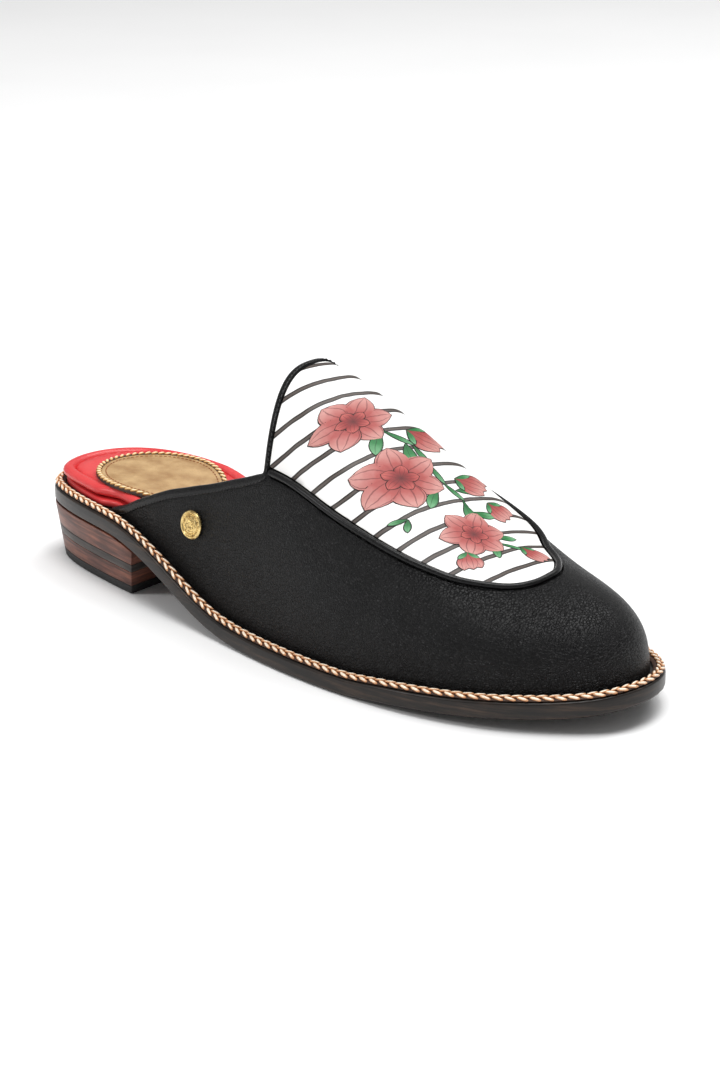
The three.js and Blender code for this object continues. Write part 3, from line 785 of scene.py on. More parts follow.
def frame_of(place: Vector, along: Vector, up: Vector, turn: float = 0.0) -> Matrix:
    """Placement whose X runs along a line and Z points up from it, turned about that Z.

    Args:
        place: Origin in metres.
        along: Direction of X.
        up: Direction that Z leans to.
        turn: Angle in degrees about Z.

    Returns:
        The placement.
    """
    x = along.normalized()
    z = (up - x * up.dot(x)).normalized()
    y = z.cross(x)
    turned = Matrix((x, y, z)).transposed().to_4x4() @ Matrix.Rotation(math.radians(turn), 4, "Z")
    return Matrix.Translation(place) @ turned


def bead(name: str, size: tuple[float, float, float], taper: float = 0.0) -> bpy.types.Object:
    """One strand or stitch: a rounded form, thinner to one end.

    Args:
        name: Name of the model.
        size: Length, width and height in millimetres.
        taper: Share by which the far end is thinner.

    Returns:
        The model at the origin.
    """
    select_only(None)
    bpy.ops.mesh.primitive_uv_sphere_add(segments=12, ring_count=7, radius=0.5)
    model = bpy.context.object
    model.name = name
    in_edit(
        model,
        lambda: bpy.ops.transform.rotate(
            value=math.pi / 2, orient_axis="Y", center_override=(0, 0, 0)
        ),
    )
    points = coordinates(model)
    points[:, 1:] *= (1 - taper * (points[:, :1] + 0.5))
    # Fuller shoulders than a ball's
    points[:, 0] = np.sign(points[:, 0]) * 0.5 * (np.abs(points[:, 0]) * 2) ** 0.8
    lay_points(model, points * np.array(size) * MM)
    return model


def tube_rings(node: str, start: Callable[[np.ndarray], np.ndarray]) -> np.ndarray:
    """Centreline of a packed tube, found ring by ring from one end.

    Args:
        node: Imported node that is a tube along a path.
        start: Function of the points that is smallest at the wanted end.

    Returns:
        Points in millimetres, in order.
    """
    copy = refined_copy(node, "tube_reading", 0)
    points = coordinates(copy)
    neighbours: dict[int, set[int]] = {i: set() for i in range(len(points))}
    for edge in copy.data.edges:
        a, b = edge.vertices
        neighbours[a].add(b)
        neighbours[b].add(a)
    bpy.data.objects.remove(copy)
    sides = 8
    current = set(np.argsort(start(points))[:sides].tolist())
    seen, centres = set(current), [points[list(current)].mean(0)]
    while True:
        current = {n for v in current for n in neighbours[v]} - seen
        if len(current) < sides - 1:
            break
        seen |= current
        centres.append(points[list(current)].mean(0))
    return np.array(centres) / MM


def resampled(line: np.ndarray, pitch: float) -> np.ndarray:
    """Evenly spaced points along a line, about a pitch apart."""
    steps = np.linalg.norm(np.diff(line[:, :3], axis=0), axis=1)
    lengths = np.concatenate([[0], np.cumsum(steps)])
    count = max(int(round(lengths[-1] / pitch)), 2)
    even = np.linspace(0, lengths[-1], count + 1)
    return np.stack([np.interp(even, lengths, column) for column in line.T], 1)


def softened(line: np.ndarray, rounds: int) -> np.ndarray:
    """Rounds a line's corners with its ends kept."""
    for _ in range(rounds):
        line = np.vstack([line[:1], (line[:-2] + 2 * line[1:-1] + line[2:]) / 4, line[-1:]])
    return line


@dataclass
class Upper:
    """Black upper with its bound edges, their stitches and the piping round the plug."""

    leather: bpy.types.Material
    trim: bpy.types.Material
    lining: bpy.types.Material
    thread: bpy.types.Material
    wall: float = 2.4
    flap: float = 2.5
    tongue_flap: float = 1.9
    tail: float = 3.2
    stitch: float = 1.15
    stitch_pitch: float = 1.6

    def build(self) -> bpy.types.Object:
        """Builds every piece of the upper and returns the dressed shell."""
        shell = refined_copy("upper", "upper_shell", 2)
        self.crease(shell)
        smooth(shell, 60)
        tree = BVHTree.FromObject(shell, bpy.context.evaluated_depsgraph_get())
        self.line(shell, tree)
        dress(shell, self.leather, ["upper"])
        piping = refined_copy("plug_piping", "plug_piping_cord", 2, 80)
        smooth(piping, 60)
        dress(piping, self.trim, ["plug_piping"])
        self.bind(self.bound_edge(), tree)
        return shell

    def bound_edge(self) -> np.ndarray:
        """Line of the binding, from the outer wing's tip over the tongue to the inner wing's tip.

        Returns:
            Points in millimetres, each with the strip's reach over the upper as a fourth number.
        """
        outer = tube_rings("topline_binding_outer", lambda p: p[:, 0])
        tongue = tube_rings("tongue_binding", lambda p: p[:, 2] + np.where(p[:, 1] > 0, 1.0, 0.0))
        inner = tube_rings("topline_binding_inner", lambda p: p[:, 0])
        parts = [
            self.past_end(outer[2], outer[0], self.tail),
            outer,
            self.corner(outer, tongue),
            tongue,
            self.corner(inner, tongue[::-1]),
            inner[::-1],
            self.past_end(inner[2], inner[0], self.tail),
        ]
        reach = [self.flap] * 3 + [self.tongue_flap] + [self.flap] * 3
        line = np.vstack([np.column_stack([p, np.full(len(p), r)]) for p, r in zip(parts, reach)])
        return softened(resampled(line, 0.9), 2)

    @staticmethod
    def past_end(before: np.ndarray, end: np.ndarray, length: float) -> np.ndarray:
        """Point past the end of a line, as a row."""
        return (end + (end - before) / np.linalg.norm(end - before) * length)[None]

    @staticmethod
    def corner(topline: np.ndarray, tongue: np.ndarray) -> np.ndarray:
        """Point where the topline and the tongue's edge meet when both are drawn on, as a row.

        Args:
            topline: Line that ends at the throat.
            tongue: Line that starts at the throat.
        """
        a, b = topline[-1], tongue[0]
        along_a, along_b = topline[-1] - topline[-3], tongue[0] - tongue[2]
        system = np.stack([along_a, -along_b], 1)
        share_a, share_b = np.linalg.lstsq(system, b - a, rcond=None)[0]
        return ((a + share_a * along_a + b + share_b * along_b) / 2)[None]

    def crease(self, shell: bpy.types.Object) -> None:
        """Presses soft troughs and ridges into the leather where the foot bends it."""
        # Middle x, y and z, direction of the trough, its length, width and depth
        troughs = (
            ((6, -38, 26), (0.25, 0, 1), 15, 9, 0.5),
            ((44, -34, 30), (0.5, 0.2, 1), 12, 5, 0.28),
            ((52, -33, 30), (0.55, 0.2, 1), 11, 4, -0.22),
            ((48, 33, 30), (0.5, -0.2, 1), 12, 5, 0.28),
            ((6, 36, 26), (0.25, 0, 1), 15, 9, 0.5),
            ((76, -14, 40), (0.1, 1, 0.1), 14, 5, 0.22),
        )
        mesh = shell.data
        points = coordinates(shell) / MM
        normals = np.zeros(len(points) * 3)
        mesh.vertices.foreach_get("normal", normals)
        normals = normals.reshape(-1, 3)
        # The inside and the outside of the wall move the same way, away from the foot's axis
        axis_z = 12
        outwards = points.copy()
        outwards[:, 0] = 0
        outwards[:, 2] -= axis_z
        side = np.sign((normals * outwards).sum(1))
        move = np.zeros(len(points))
        for middle, direction, length, width, depth in troughs:
            axis = np.array(direction) / np.linalg.norm(direction)
            away = points - np.array(middle)
            along = away @ axis
            across = np.linalg.norm(away - along[:, None] * axis, axis=1)
            move -= depth * np.exp(-((along / length) ** 2) - (across / width) ** 2)
        lay_points(shell, (points + normals * (move * side)[:, None]) * MM)

    def line(self, shell: bpy.types.Object, tree: BVHTree) -> None:
        """Gives the faces that the shell itself hides from outside the lining.

        Args:
            shell: The upper's shell.
            tree: Search tree of the shell.
        """
        shell.data.materials.append(self.leather)
        shell.data.materials.append(self.lining)
        # Each ray starts just off its face and runs away from the foot's axis, and past the toe
        # box's start also forwards; it looks no further than the wall on that side
        toe_box, axis_y, axis_z, clear, far = 60, 2, 14, 0.3, 12
        for polygon in shell.data.polygons:
            middle = polygon.center / MM
            ahead = max(middle.x - toe_box, 0) * 0.6
            outwards = Vector((ahead, middle.y - axis_y, middle.z - axis_z)).normalized()
            start = polygon.center + polygon.normal * clear * MM
            hit, _, _, _ = tree.ray_cast(start, outwards, far * MM)
            if hit is not None and polygon.normal.dot(outwards) < -0.2:
                polygon.material_index = 1

    def bind(self, line: np.ndarray, tree: BVHTree) -> None:
        """Folds one strip over the whole edge and sews it.

        Args:
            line: Points along the edge in millimetres, each with the strip's reach.
            tree: Search tree of the upper's shell.
        """
        line, reach = line[:, :3], line[:, 3]
        along = np.gradient(line, axis=0)
        along /= np.linalg.norm(along, axis=1)[:, None]
        inwards, outwards = [], []
        for point, tangent in zip(line, along):
            near, normal, _, _ = tree.find_nearest(Vector(point) * MM)
            toward = Vector(near) / MM - Vector(point)
            toward -= Vector(tangent) * toward.dot(Vector(tangent))
            toward.normalize()
            out = toward.cross(Vector(tangent)).normalized()
            if out.dot(Vector((0, point[1] - 2, max(point[2] - 30, 0)))) < 0:
                out.negate()
            inwards.append(toward)
            outwards.append(out)
        inwards = softened(np.array(inwards), 8)
        outwards = softened(np.array(outwards), 8)
        half = self.wall / 2
        # Section: distance from the edge's middle towards the upper, and out from the wall
        section = (
            (reach, half + 0.02),
            (reach - 0.2, half + 0.36),
            (1.1, half + 0.44),
            (0.2, half + 0.38),
            (-0.5, half - 0.1),
            (-0.8, 0.5),
            (-0.8, -0.5),
            (-0.5, -half + 0.1),
            (0.2, -half - 0.38),
            (1.1, -half - 0.44),
            (reach - 0.2, -half - 0.36),
            (reach, -half - 0.02),
            (reach, half + 0.02),
        )
        rows = np.array(
            [
                line + inwards * np.reshape(down, (-1, 1)) + outwards * out
                for down, out in section
            ]
        )
        strip = laid_grid("edge_binding", rows)
        weld(strip, 1e-5)
        in_edit(strip, lambda: bpy.ops.mesh.edge_face_add())
        weld(strip, 1e-5)
        apply_modifier(strip, "SUBSURF", levels=1, render_levels=1)
        smooth(strip, 60)
        dress(
            strip,
            self.trim,
            ["tongue_binding", "topline_binding_outer", "topline_binding_inner"],
        )
        frames = []
        places = resampled(line, self.stitch_pitch)
        for i in range(2, len(places) - 2):
            k = int(np.argmin(np.linalg.norm(line - places[i], axis=1)))
            place = places[i] + inwards[k] * (reach[k] - 0.4) + outwards[k] * (half + 0.4)
            frames.append(frame_of(Vector(place) * MM, Vector(along[k]), Vector(outwards[k]), 14))
        stitches = strewn("edge_stitches", bead("stitch", (self.stitch, 0.42, 0.4)), frames)
        dress(stitches, self.thread)


@dataclass(frozen=True)
class Motif:
    """One petal or leaf as drawn flat: root along and across, heading in degrees, and sizes.

    A heading of 0 points towards the toe and 90 to the inner side; bow is the bend at the tip.
    """

    root: tuple[float, float]
    heading: float
    length: float
    width: float
    bow: float


@dataclass
class Plug:
    """Set-in panel of the tongue and vamp, striped, with a generic spray of blossoms."""

    calf: bpy.types.Material
    petal: bpy.types.Material
    heart: bpy.types.Material
    leaf: bpy.types.Material
    outline: bpy.types.Material
    # Line inside the foot that the rays leave from: place at the tongue's top, then the way that
    # x runs and z falls for each millimetre along the panel
    axis_start: tuple[float, float, float] = (-14.0, 3.9, 30.0)
    axis_run: float = 0.80
    axis_fall: float = 0.05
    # The rays start this far back along x and lean forwards as the panel does
    set_back: float = 12.0
    lean: tuple[float, float, float] = (0.5, 0.0, 0.86)
    skip: float = 4.0
    # Radius of the panel's curve at the tongue's top, and its fall for each millimetre along
    curve: tuple[float, float] = (44.0, 0.1)
    outline_grow: float = 0.36

    def build(self) -> None:
        """Builds the panel and its print."""
        panel = refined_copy("vamp_plug", "vamp_plug_panel", 2)
        smooth(panel, 50)
        dress(panel, self.calf, ["vamp_plug"])
        self.tree = BVHTree.FromObject(panel, bpy.context.evaluated_depsgraph_get())
        self.print_blossoms()

    def spot(self, along: float, across: float, lift: float) -> Vector:
        """Point over the panel, read by a ray from the foot's axis.

        Args:
            along: Millimetres from the tongue's top towards the toe.
            across: Angle in degrees from the ridge, towards the inner side.
            lift: Height over the surface in millimetres.

        Returns:
            The point in millimetres.
        """
        start_x, start_y, start_z = self.axis_start
        x = start_x + self.axis_run * along
        origin = Vector((x - self.set_back, start_y, start_z - self.axis_fall * along)) * MM
        angle = math.radians(across)
        direction = Vector(self.lean) * math.cos(angle) + Vector((0, 1, 0)) * math.sin(angle)
        hit, normal, _, _ = self.tree.ray_cast(origin + direction * self.skip * MM, direction)
        while hit is not None:
            further, outer, _, _ = self.tree.ray_cast(hit + direction * 0.05 * MM, direction)
            if further is None:
                break
            hit, normal = further, outer
        if hit is None:
            return Vector((math.nan,) * 3)
        if normal.dot(direction) < 0:
            normal = -normal
        return hit / MM + normal * lift

    def patch(
        self, name: str, motif: Motif, grow: float, lift: float
    ) -> bpy.types.Object | None:
        """Lays one motif on the panel.

        Args:
            name: Name of the patch.
            motif: What is drawn.
            grow: Millimetres that the drawn edge stands out, for an outline.
            lift: Height over the panel in millimetres.

        Returns:
            The patch, or None where it leaves the panel.
        """
        turn = math.radians(motif.heading)
        rows, columns = 12, 7
        points = np.zeros((rows, columns, 3))
        for i in range(rows):
            v = i / (rows - 1)
            reach = v * (motif.length + 2 * grow) - grow
            share = min(max(reach / motif.length, 0), 1)
            half = motif.width / 2 * math.sin(math.pi * share**1.25) ** 0.75 + grow * (0 < v < 1)
            middle = motif.bow * share**2
            for j in range(columns):
                side = middle + (2 * j / (columns - 1) - 1) * half
                along = motif.root[0] + reach * math.cos(turn) - side * math.sin(turn)
                across = motif.root[1] + reach * math.sin(turn) + side * math.cos(turn)
                points[i, j] = self.spot(along, across * self.degrees_at(along), lift)
        if np.isnan(points).any():
            log.warning("%s leaves the panel", name)
            return None
        return laid_grid(name, points)

    def degrees_at(self, along: float) -> float:
        """Degrees for each millimetre across the panel, by the distance from the tongue's top."""
        radius, fall = self.curve
        return 180 / math.pi / (radius - fall * along)

    def print_blossoms(self) -> None:
        """Prints open blossoms, buds and leaves along one winding stem."""
        # Centre along and across, size, turn
        blossoms = ((14.5, -8, 13.5, 12), (50, -11, 17.5, 40), (91, -8, 15.0, 5))
        # Root along and across, heading, length
        buds = (
            (28, 6, 35, 17),
            (60, 9, 40, 15),
            (70, -23, -80, 13),
            (78, 14, 15, 13),
            (98, -20, -35, 11),
            (108, 5, 5, 14),
        )
        leaves = (
            (24, -3, -45, 13),
            (34, 2, -20, 13),
            (38, 5, 80, 12),
            (62, -2, -60, 13),
            (66, 5, 65, 12),
            (74, 3, -25, 14),
            (80, 2, 50, 12),
            (98, -1, 60, 11),
            (101, -5, -50, 10),
        )
        stem = (
            (14.5, -8),
            (24, -2),
            (36, 4),
            (48, 4),
            (60, 3),
            (72, 4),
            (82, 0),
            (91, -8),
            (100, -4),
            (112, 5),
        )
        petals: list[bpy.types.Object] = []
        hearts: list[bpy.types.Object] = []
        greens: list[bpy.types.Object] = []
        outlines: list[bpy.types.Object] = []

        def draw(store: list[bpy.types.Object], level: float, *motif: object) -> None:
            """Adds one filled patch with its outline beneath."""
            under = self.patch("line", Motif(*motif), self.outline_grow, 0.05 + level)
            over = self.patch("fill", Motif(*motif), 0.0, 0.09 + level)
            if under is not None and over is not None:
                outlines.append(under)
                store.append(over)

        for (a, b), (c, d) in zip(stem[:-1], stem[1:]):
            heading = math.degrees(math.atan2(d - b, c - a))
            length = math.hypot(c - a, d - b)
            draw(greens, 0.0, (a, b), heading, length * 1.06, 1.9, 0.4)
        for along, across, heading, length in leaves:
            draw(greens, 0.02, (along, across), heading, length, length * 0.36, length * 0.12)
        for along, across, heading, length in buds:
            root = (along, across)
            for turn, level in ((-16, 0.05), (16, 0.06), (0, 0.08)):
                draw(petals, level, root, heading + turn, length, length * 0.52, 0.6)
            draw(greens, 0.1, root, heading + 38, length * 0.5, 2.2, 0.5)
            draw(greens, 0.1, root, heading - 38, length * 0.5, 2.2, -0.5)
        for along, across, size, turn in blossoms:
            root = (along, across)
            for k in range(6):
                draw(petals, 0.04 + 0.008 * k, root, turn + 60 * k, size, size * 0.72, 0.8)
            for k in range(5):
                heading = turn + 30 + 72 * k
                draw(hearts, 0.11 + 0.004 * k, root, heading, size * 0.42, size * 0.3, 0.2)
        for name, parts, finish in (
            ("print_outlines", outlines, self.outline),
            ("print_petals", petals, self.petal),
            ("print_hearts", hearts, self.heart),
            ("print_leaves", greens, self.leaf),
        ):
            dress(joined(name, parts), finish)


@dataclass
class Bottom:
    """Outsole, stacked heel and plaited welt."""

    form: SoleForm
    edge: bpy.types.Material
    rubber: bpy.types.Material
    stack: bpy.types.Material
    spacer: bpy.types.Material
    base: bpy.types.Material
    cord: bpy.types.Material
    welt_width: float = 4.2
    welt_points: int = 368
    strand_pitch: float = 3.9

    def build(self) -> None:
        """Builds every piece of the bottom."""
        outsole = refined_copy("outsole", "outsole_edge_dressed", 0)
        apply_modifier(outsole, "BEVEL", width=0.25 * MM, segments=2, limit_method="ANGLE")
        smooth(outsole, 50)
        dress(outsole, self.edge, ["outsole"])
        for node, finish, slot in (
            ("heel_top_piece", self.rubber, Slot.RUBBER),
            ("heel_lower_lift", self.stack, Slot.STACK),
            ("heel_spacer", self.spacer, Slot.SPACER),
            ("heel_upper_lift", self.stack, Slot.STACK),
        ):
            lift = refined_copy(node, node + "_burnished", 0)
            apply_modifier(lift, "BEVEL", width=0.18 * MM, segments=2, limit_method="ANGLE")
            smooth(lift, 40)
            dress(lift, finish, [node])
        self.lay_welt()

    def lay_welt(self) -> None:
        """Lays the welt's leather base and the two rows of strands that plait over it."""
        # Share of the width inwards from the sole's edge, and height over its top
        profile = (
            (0.14, 0.32),
            (0.1, 0.7),
            (0.2, 1.0),
            (0.5, 1.15),
            (0.85, 1.0),
            (0.95, 0.7),
            (0.92, 0.32),
        )
        rings = [
            self.form.ring(self.welt_points, share * self.welt_width, lift)
            for share, lift in profile
        ]
        rings.append(rings[0])
        rows = np.array([np.vstack([ring, ring[:1]]) for ring in rings])
        band = laid_grid("welt_base", rows)
        weld(band, 1e-5)
        smooth(band, 60)
        dress(band, self.base)
        length = self.perimeter()
        strands = int(round(length / self.strand_pitch))
        frames = []
        # Inset from the edge, height, slant in degrees and shift along as a share of the pitch
        for inset, lift, turn, shift in ((1.0, 1.1, -17, 0.0), (2.2, 1.4, 17, 0.5)):
            ring = self.form.ring(strands * 4, inset, lift)
            loop = self.form.loop(strands * 4)
            for i in range(strands):
                k = int((i + shift) * 4) % len(ring)
                along = Vector(ring[(k + 1) % len(ring)] - ring[k - 1])
                edgewards = Vector((loop[k, 2], loop[k, 3], 0))
                lean = Vector((0, 0, 1)) + edgewards * (0.8 if inset < 2 else -0.1)
                frames.append(frame_of(Vector(ring[k]) * MM, along, lean, turn))
        plait = strewn("welt_plait", bead("strand", (4.0, 1.2, 1.2), 0.12), frames)
        dress(plait, self.cord, ["welt"])

    def perimeter(self) -> float:
        """Length round the sole's edge in millimetres."""
        loop = self.form.loop(400)[:, :2]
        return float(np.linalg.norm(np.roll(loop, -1, axis=0) - loop, axis=1).sum())


@dataclass
class Footbed:
    """Padded red footbed with its rolled edge, and the sewn heel patch on it."""

    form: SoleForm
    red: bpy.types.Material
    tan: bpy.types.Material
    cord: bpy.types.Material
    thread: bpy.types.Material
    pit_shade: bpy.types.Material
    roll: float = 4.4
    board: float = 2.4
    seat: float = 4.0
    toe: float = 2.6
    wall: float = 2.4
    heel_length: float = 60.9
    middle_line: float = 43.76
    # Distances from the heel: the outer and the inner wing's tip, and the throat
    outer_wing: float = 44.6
    inner_wing: float = 69.0
    throat: float = 125.0
    # Insets from the sole's edge: the base and the pad at the bare seat and between the wings
    base_insets: tuple[float, float] = (4.35, 7.5)
    pad_insets: tuple[float, float] = (3.0, 4.6)
    pad_between_wings: float = 8.5
    points: int = 420

    def build(self) -> None:
        """Builds the base, the pad and the patch."""
        self.base()
        self.pad()
        self.patch()

    @staticmethod
    def ease(at: np.ndarray, start: float | np.ndarray, end: float | np.ndarray) -> np.ndarray:
        """Smooth step from 0 at the start to 1 at the end."""
        share = np.clip((at - start) / (end - start), 0, 1)
        return share * share * (3 - 2 * share)

    def places(self, loop: np.ndarray) -> tuple[np.ndarray, np.ndarray]:
        """Distance from the heel and from the solids' middle line for each point of the outline."""
        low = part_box("outsole")[0] / MM
        return loop[:, 0] - low.x, loop[:, 1] - low.y - self.middle_line

    def between_wings(self, loop: np.ndarray, length: float) -> np.ndarray:
        """Share of the way from the bare heel seat to the part between the wings."""
        x, y = self.places(loop)
        reach = self.form.heel_width / 6
        inner = self.ease(y, -reach, reach)
        tip = self.outer_wing + (self.inner_wing - self.outer_wing) * inner - self.wall
        return self.ease(x, tip - length * (1 - inner / 2), tip)

    def slab(self, name: str, rows: list[np.ndarray], crown: float) -> bpy.types.Object:
        """Closes a stack of rings above and below and lays it.

        Args:
            name: Name of the piece.
            rows: Rings from the underside to the top.
            crown: Millimetres by which the middle stands over the last ring.

        Returns:
            The piece.
        """
        lift = rows[-1][:, 2] - self.form.top(rows[-1][:, 0])
        last = rows[-1]
        spine = (last + np.roll(last[::-1], 1, axis=0)) / 2
        for step in np.linspace(0, 1, 11)[1:]:
            points = last + (spine - last) * step
            points[:, 2] = self.form.top(points[:, 0]) + lift + crown * (1 - (1 - step) ** 2)
            rows.append(points)
        first = rows[0]
        base = first[:, 2] - self.form.top(first[:, 0])
        under = []
        for step in (1.0, 0.5):
            points = first + ((first + np.roll(first[::-1], 1, axis=0)) / 2 - first) * step
            points[:, 2] = self.form.top(points[:, 0]) + base
            under.append(points)
        closed = np.array([np.vstack([row, row[:1]]) for row in under + rows])
        piece = laid_grid(name, closed)
        weld(piece, 2e-5)
        smooth(piece, 60)
        return piece

    def ring(self, loop: np.ndarray, inset: np.ndarray, lift: np.ndarray | float) -> np.ndarray:
        """Ring at an inset from the outline and a lift over the sole's top."""
        points = loop[:, :2] - loop[:, 2:] * inset[:, None]
        return np.column_stack([points, self.form.top(points[:, 0]) + lift])

    def base(self) -> None:
        """Lays the red base whose lip shows under the pad at the bare heel."""
        loop = self.form.loop(self.points)
        bare, covered = self.base_insets
        inset = bare + (covered - bare) * self.between_wings(loop, 7.2)
        profile = ((0.5, 0.35), (0.05, 0.7), (0.0, 1.6), (0.2, 2.3), (0.7, 2.55), (1.6, 2.4))
        rows = [self.ring(loop, inset + more, lift) for more, lift in profile]
        board = self.slab("insole_base", rows, 0.0)
        dress(board, self.red, ["insole_board"])

    def pad(self) -> None:
        """Lays the pad: a swollen roll, a sewn groove inside it and a soft crown."""
        loop = self.form.loop(self.points)
        x, y = self.places(loop)
        least, most = self.pad_insets
        reach = self.form.heel_width / 3
        outer = least + (most - least) * self.ease(x, 0, self.heel_length / 2)
        seat = outer + (least - outer) * self.ease(y, -reach, reach)
        inset = seat + (self.pad_between_wings - seat) * self.between_wings(loop, 12.0)
        depth = self.seat + (self.toe - self.seat) * self.ease(x, self.outer_wing, self.throat)
        # Share of the roll inwards and share of the thickness up, from the underside to the crown
        profile = (
            (0.66, 0.02),
            (0.4, 0.1),
            (0.16, 0.24),
            (0.03, 0.42),
            (0.0, 0.56),
            (0.05, 0.74),
            (0.2, 0.92),
            (0.45, 1.03),
            (0.72, 1.0),
            (0.9, 0.84),
            (0.98, 0.62),
            (1.03, 0.5),
            (1.08, 0.62),
            (1.18, 0.8),
            (1.4, 0.9),
            (1.9, 0.95),
        )
        rows = [
            self.ring(loop, inset + inwards * self.roll, self.board + up * depth)
            for inwards, up in profile
        ]
        pad = self.slab("footbed_pad", rows, 0.25)
        dress(pad, self.red, ["footbed"])

    def oval(self, inset: float, lift: float, angles: np.ndarray) -> np.ndarray:
        """Oval inside the patch's rim, at a lift over the sole's top."""
        low, high = (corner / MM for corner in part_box("heel_patch"))
        middle = (low + high) / 2
        x = middle.x + ((high.x - low.x) / 2 - inset) * np.cos(angles)
        y = middle.y + ((high.y - low.y) / 2 - inset) * np.sin(angles)
        return np.column_stack([x, y, self.form.top(x) + lift])

    def patch(self) -> None:
        """Lays the oval patch, its sewn rim over a dark band of painted shade, and the row of
        stitches inside it.
        """
        low, high = (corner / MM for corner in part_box("heel_patch"))
        turns = np.linspace(0, 2 * math.pi, 97)
        lift = self.board + self.seat + 0.3
        # Inset from the rim and height over the pad, from the underside to the middle
        profile = (
            (0.4, 0.0),
            (0.0, 0.35),
            (0.15, 0.75),
            (0.9, 1.0),
            (2.9, 0.92),
            (3.3, 0.75),
            (3.7, 0.92),
            (8.0, 1.0),
            (14.0, 1.0),
            ((high.y - low.y) / 2 - 0.2, 1.0),
        )
        rows = [self.oval(inset, lift + up, turns) for inset, up in profile]
        patch = laid_grid("heel_patch_leather", np.array(rows))
        weld(patch, 1e-5)
        in_edit(
            patch,
            lambda: bpy.ops.mesh.select_all(action="DESELECT"),
            lambda: bpy.ops.mesh.select_non_manifold(),
            lambda: bpy.ops.mesh.edge_face_add(),
        )
        smooth(patch, 50)
        dress(patch, self.tan, ["heel_patch"])
        # The rim is a dark band under the whip stitches: painted shade that shows in the gaps
        # between them
        profile = ((-0.15, 0.1), (-0.1, 0.85), (0.3, 1.12), (1.5, 1.12), (1.9, 0.95))
        rim = [self.oval(inset, lift + up, turns) for inset, up in profile]
        band = laid_grid("patch_rim", np.array(rim))
        weld(band, 1e-5)
        smooth(band, 60)
        dress(band, self.pit_shade)
        strand = bead("whip", (2.8, 1.4, 1.3), 0.1)
        whip = self.sewn("patch_whip_stitch", strand, 0.9, lift + 1.1, 2.45, 38)
        dress(whip, self.cord)
        stitch = bead("stitch", (1.1, 0.5, 0.4))
        fine = self.sewn("patch_stitch", stitch, 3.3, lift + 0.88, 1.7, 0)
        dress(fine, self.thread)

    def sewn(
        self,
        name: str,
        model: bpy.types.Object,
        inset: float,
        lift: float,
        pitch: float,
        turn: float,
    ) -> bpy.types.Object:
        """Sews a row round the patch.

        Args:
            name: Name of the row.
            model: One stitch.
            inset: Distance of the row from the patch's rim.
            lift: Height over the sole's top.
            pitch: Distance from stitch to stitch.
            turn: Slant of each stitch in degrees.

        Returns:
            The row as one mesh.
        """
        ring = self.oval(inset, lift, np.linspace(0, 2 * math.pi, 721))
        places = resampled(ring, pitch)[:-1]
        frames = []
        for i, place in enumerate(places):
            along = Vector(places[(i + 1) % len(places)] - places[i - 1])
            frames.append(frame_of(Vector(place) * MM, along, Vector((0, 0, 1)), turn))
        return strewn(name, model, frames)


@dataclass
class Stud:
    """Round brass stud with a rosette of generic relief."""

    brass: bpy.types.Material
    # Distance from the axis and height, as shares of the radius and the thickness
    profile: tuple[tuple[float, float], ...] = (
        (0.0, 0.0),
        (0.9, 0.0),
        (1.0, 0.2),
        (1.0, 0.55),
        (0.93, 0.8),
        (0.84, 0.82),
        (0.78, 0.6),
        (0.62, 0.58),
        (0.56, 0.78),
        (0.48, 0.8),
        (0.44, 0.66),
        (0.2, 0.72),
        (0.0, 0.78),
    )

    @staticmethod
    def ways(count: int) -> list[Vector]:
        """Directions spaced evenly round the axis."""
        turns = [2 * math.pi * k / count for k in range(count)]
        return [Vector((math.cos(turn), math.sin(turn), 0)) for turn in turns]

    def build(self) -> None:
        """Spins the stud's profile, adds a beaded rim and a rosette, and sets it on the wing."""
        source = coordinates(bpy.data.objects["side_stud"])
        centre = source.mean(0)
        _, _, axes = np.linalg.svd(source - centre, full_matrices=False)
        axis = Vector(axes[2])
        if axis.y > 0:
            axis.negate()
        depth = (source - centre) @ np.array(axis)
        flat = (source - centre) - np.outer(depth, np.array(axis))
        radius = float(np.linalg.norm(flat, axis=1).max()) / MM
        low = depth.min() / MM
        thick = depth.max() / MM - low
        turns = np.linspace(0, 2 * math.pi, 65)
        rows = [
            np.column_stack(
                [
                    share * radius * np.cos(turns),
                    share * radius * np.sin(turns),
                    np.full_like(turns, low + height * thick),
                ]
            )
            for share, height in self.profile
        ]
        disc = laid_grid("stud_disc", np.array(rows))
        weld(disc, 1e-6)
        up = Vector((0, 0, 1))
        beads = [
            Matrix.Translation((way * radius * 0.7 + up * (low + 0.62 * thick)) * MM)
            for way in self.ways(30)
        ]
        leaves = [
            frame_of((way * radius * 0.24 + up * (low + 0.72 * thick)) * MM, way, up)
            for way in self.ways(8)
        ]
        parts = [
            disc,
            strewn("stud_beads", bead("bead", (0.5, 0.5, 0.5)), beads),
            strewn("stud_rosette", bead("leaf", (1.6, 0.75, 0.5)), leaves),
        ]
        stud = joined("side_stud_cast", parts)
        turned = up.rotation_difference(axis).to_matrix().to_4x4()
        stud.data.transform(Matrix.Translation(Vector(centre)) @ turned)
        smooth(stud, 40)
        dress(stud, self.brass, ["side_stud"])


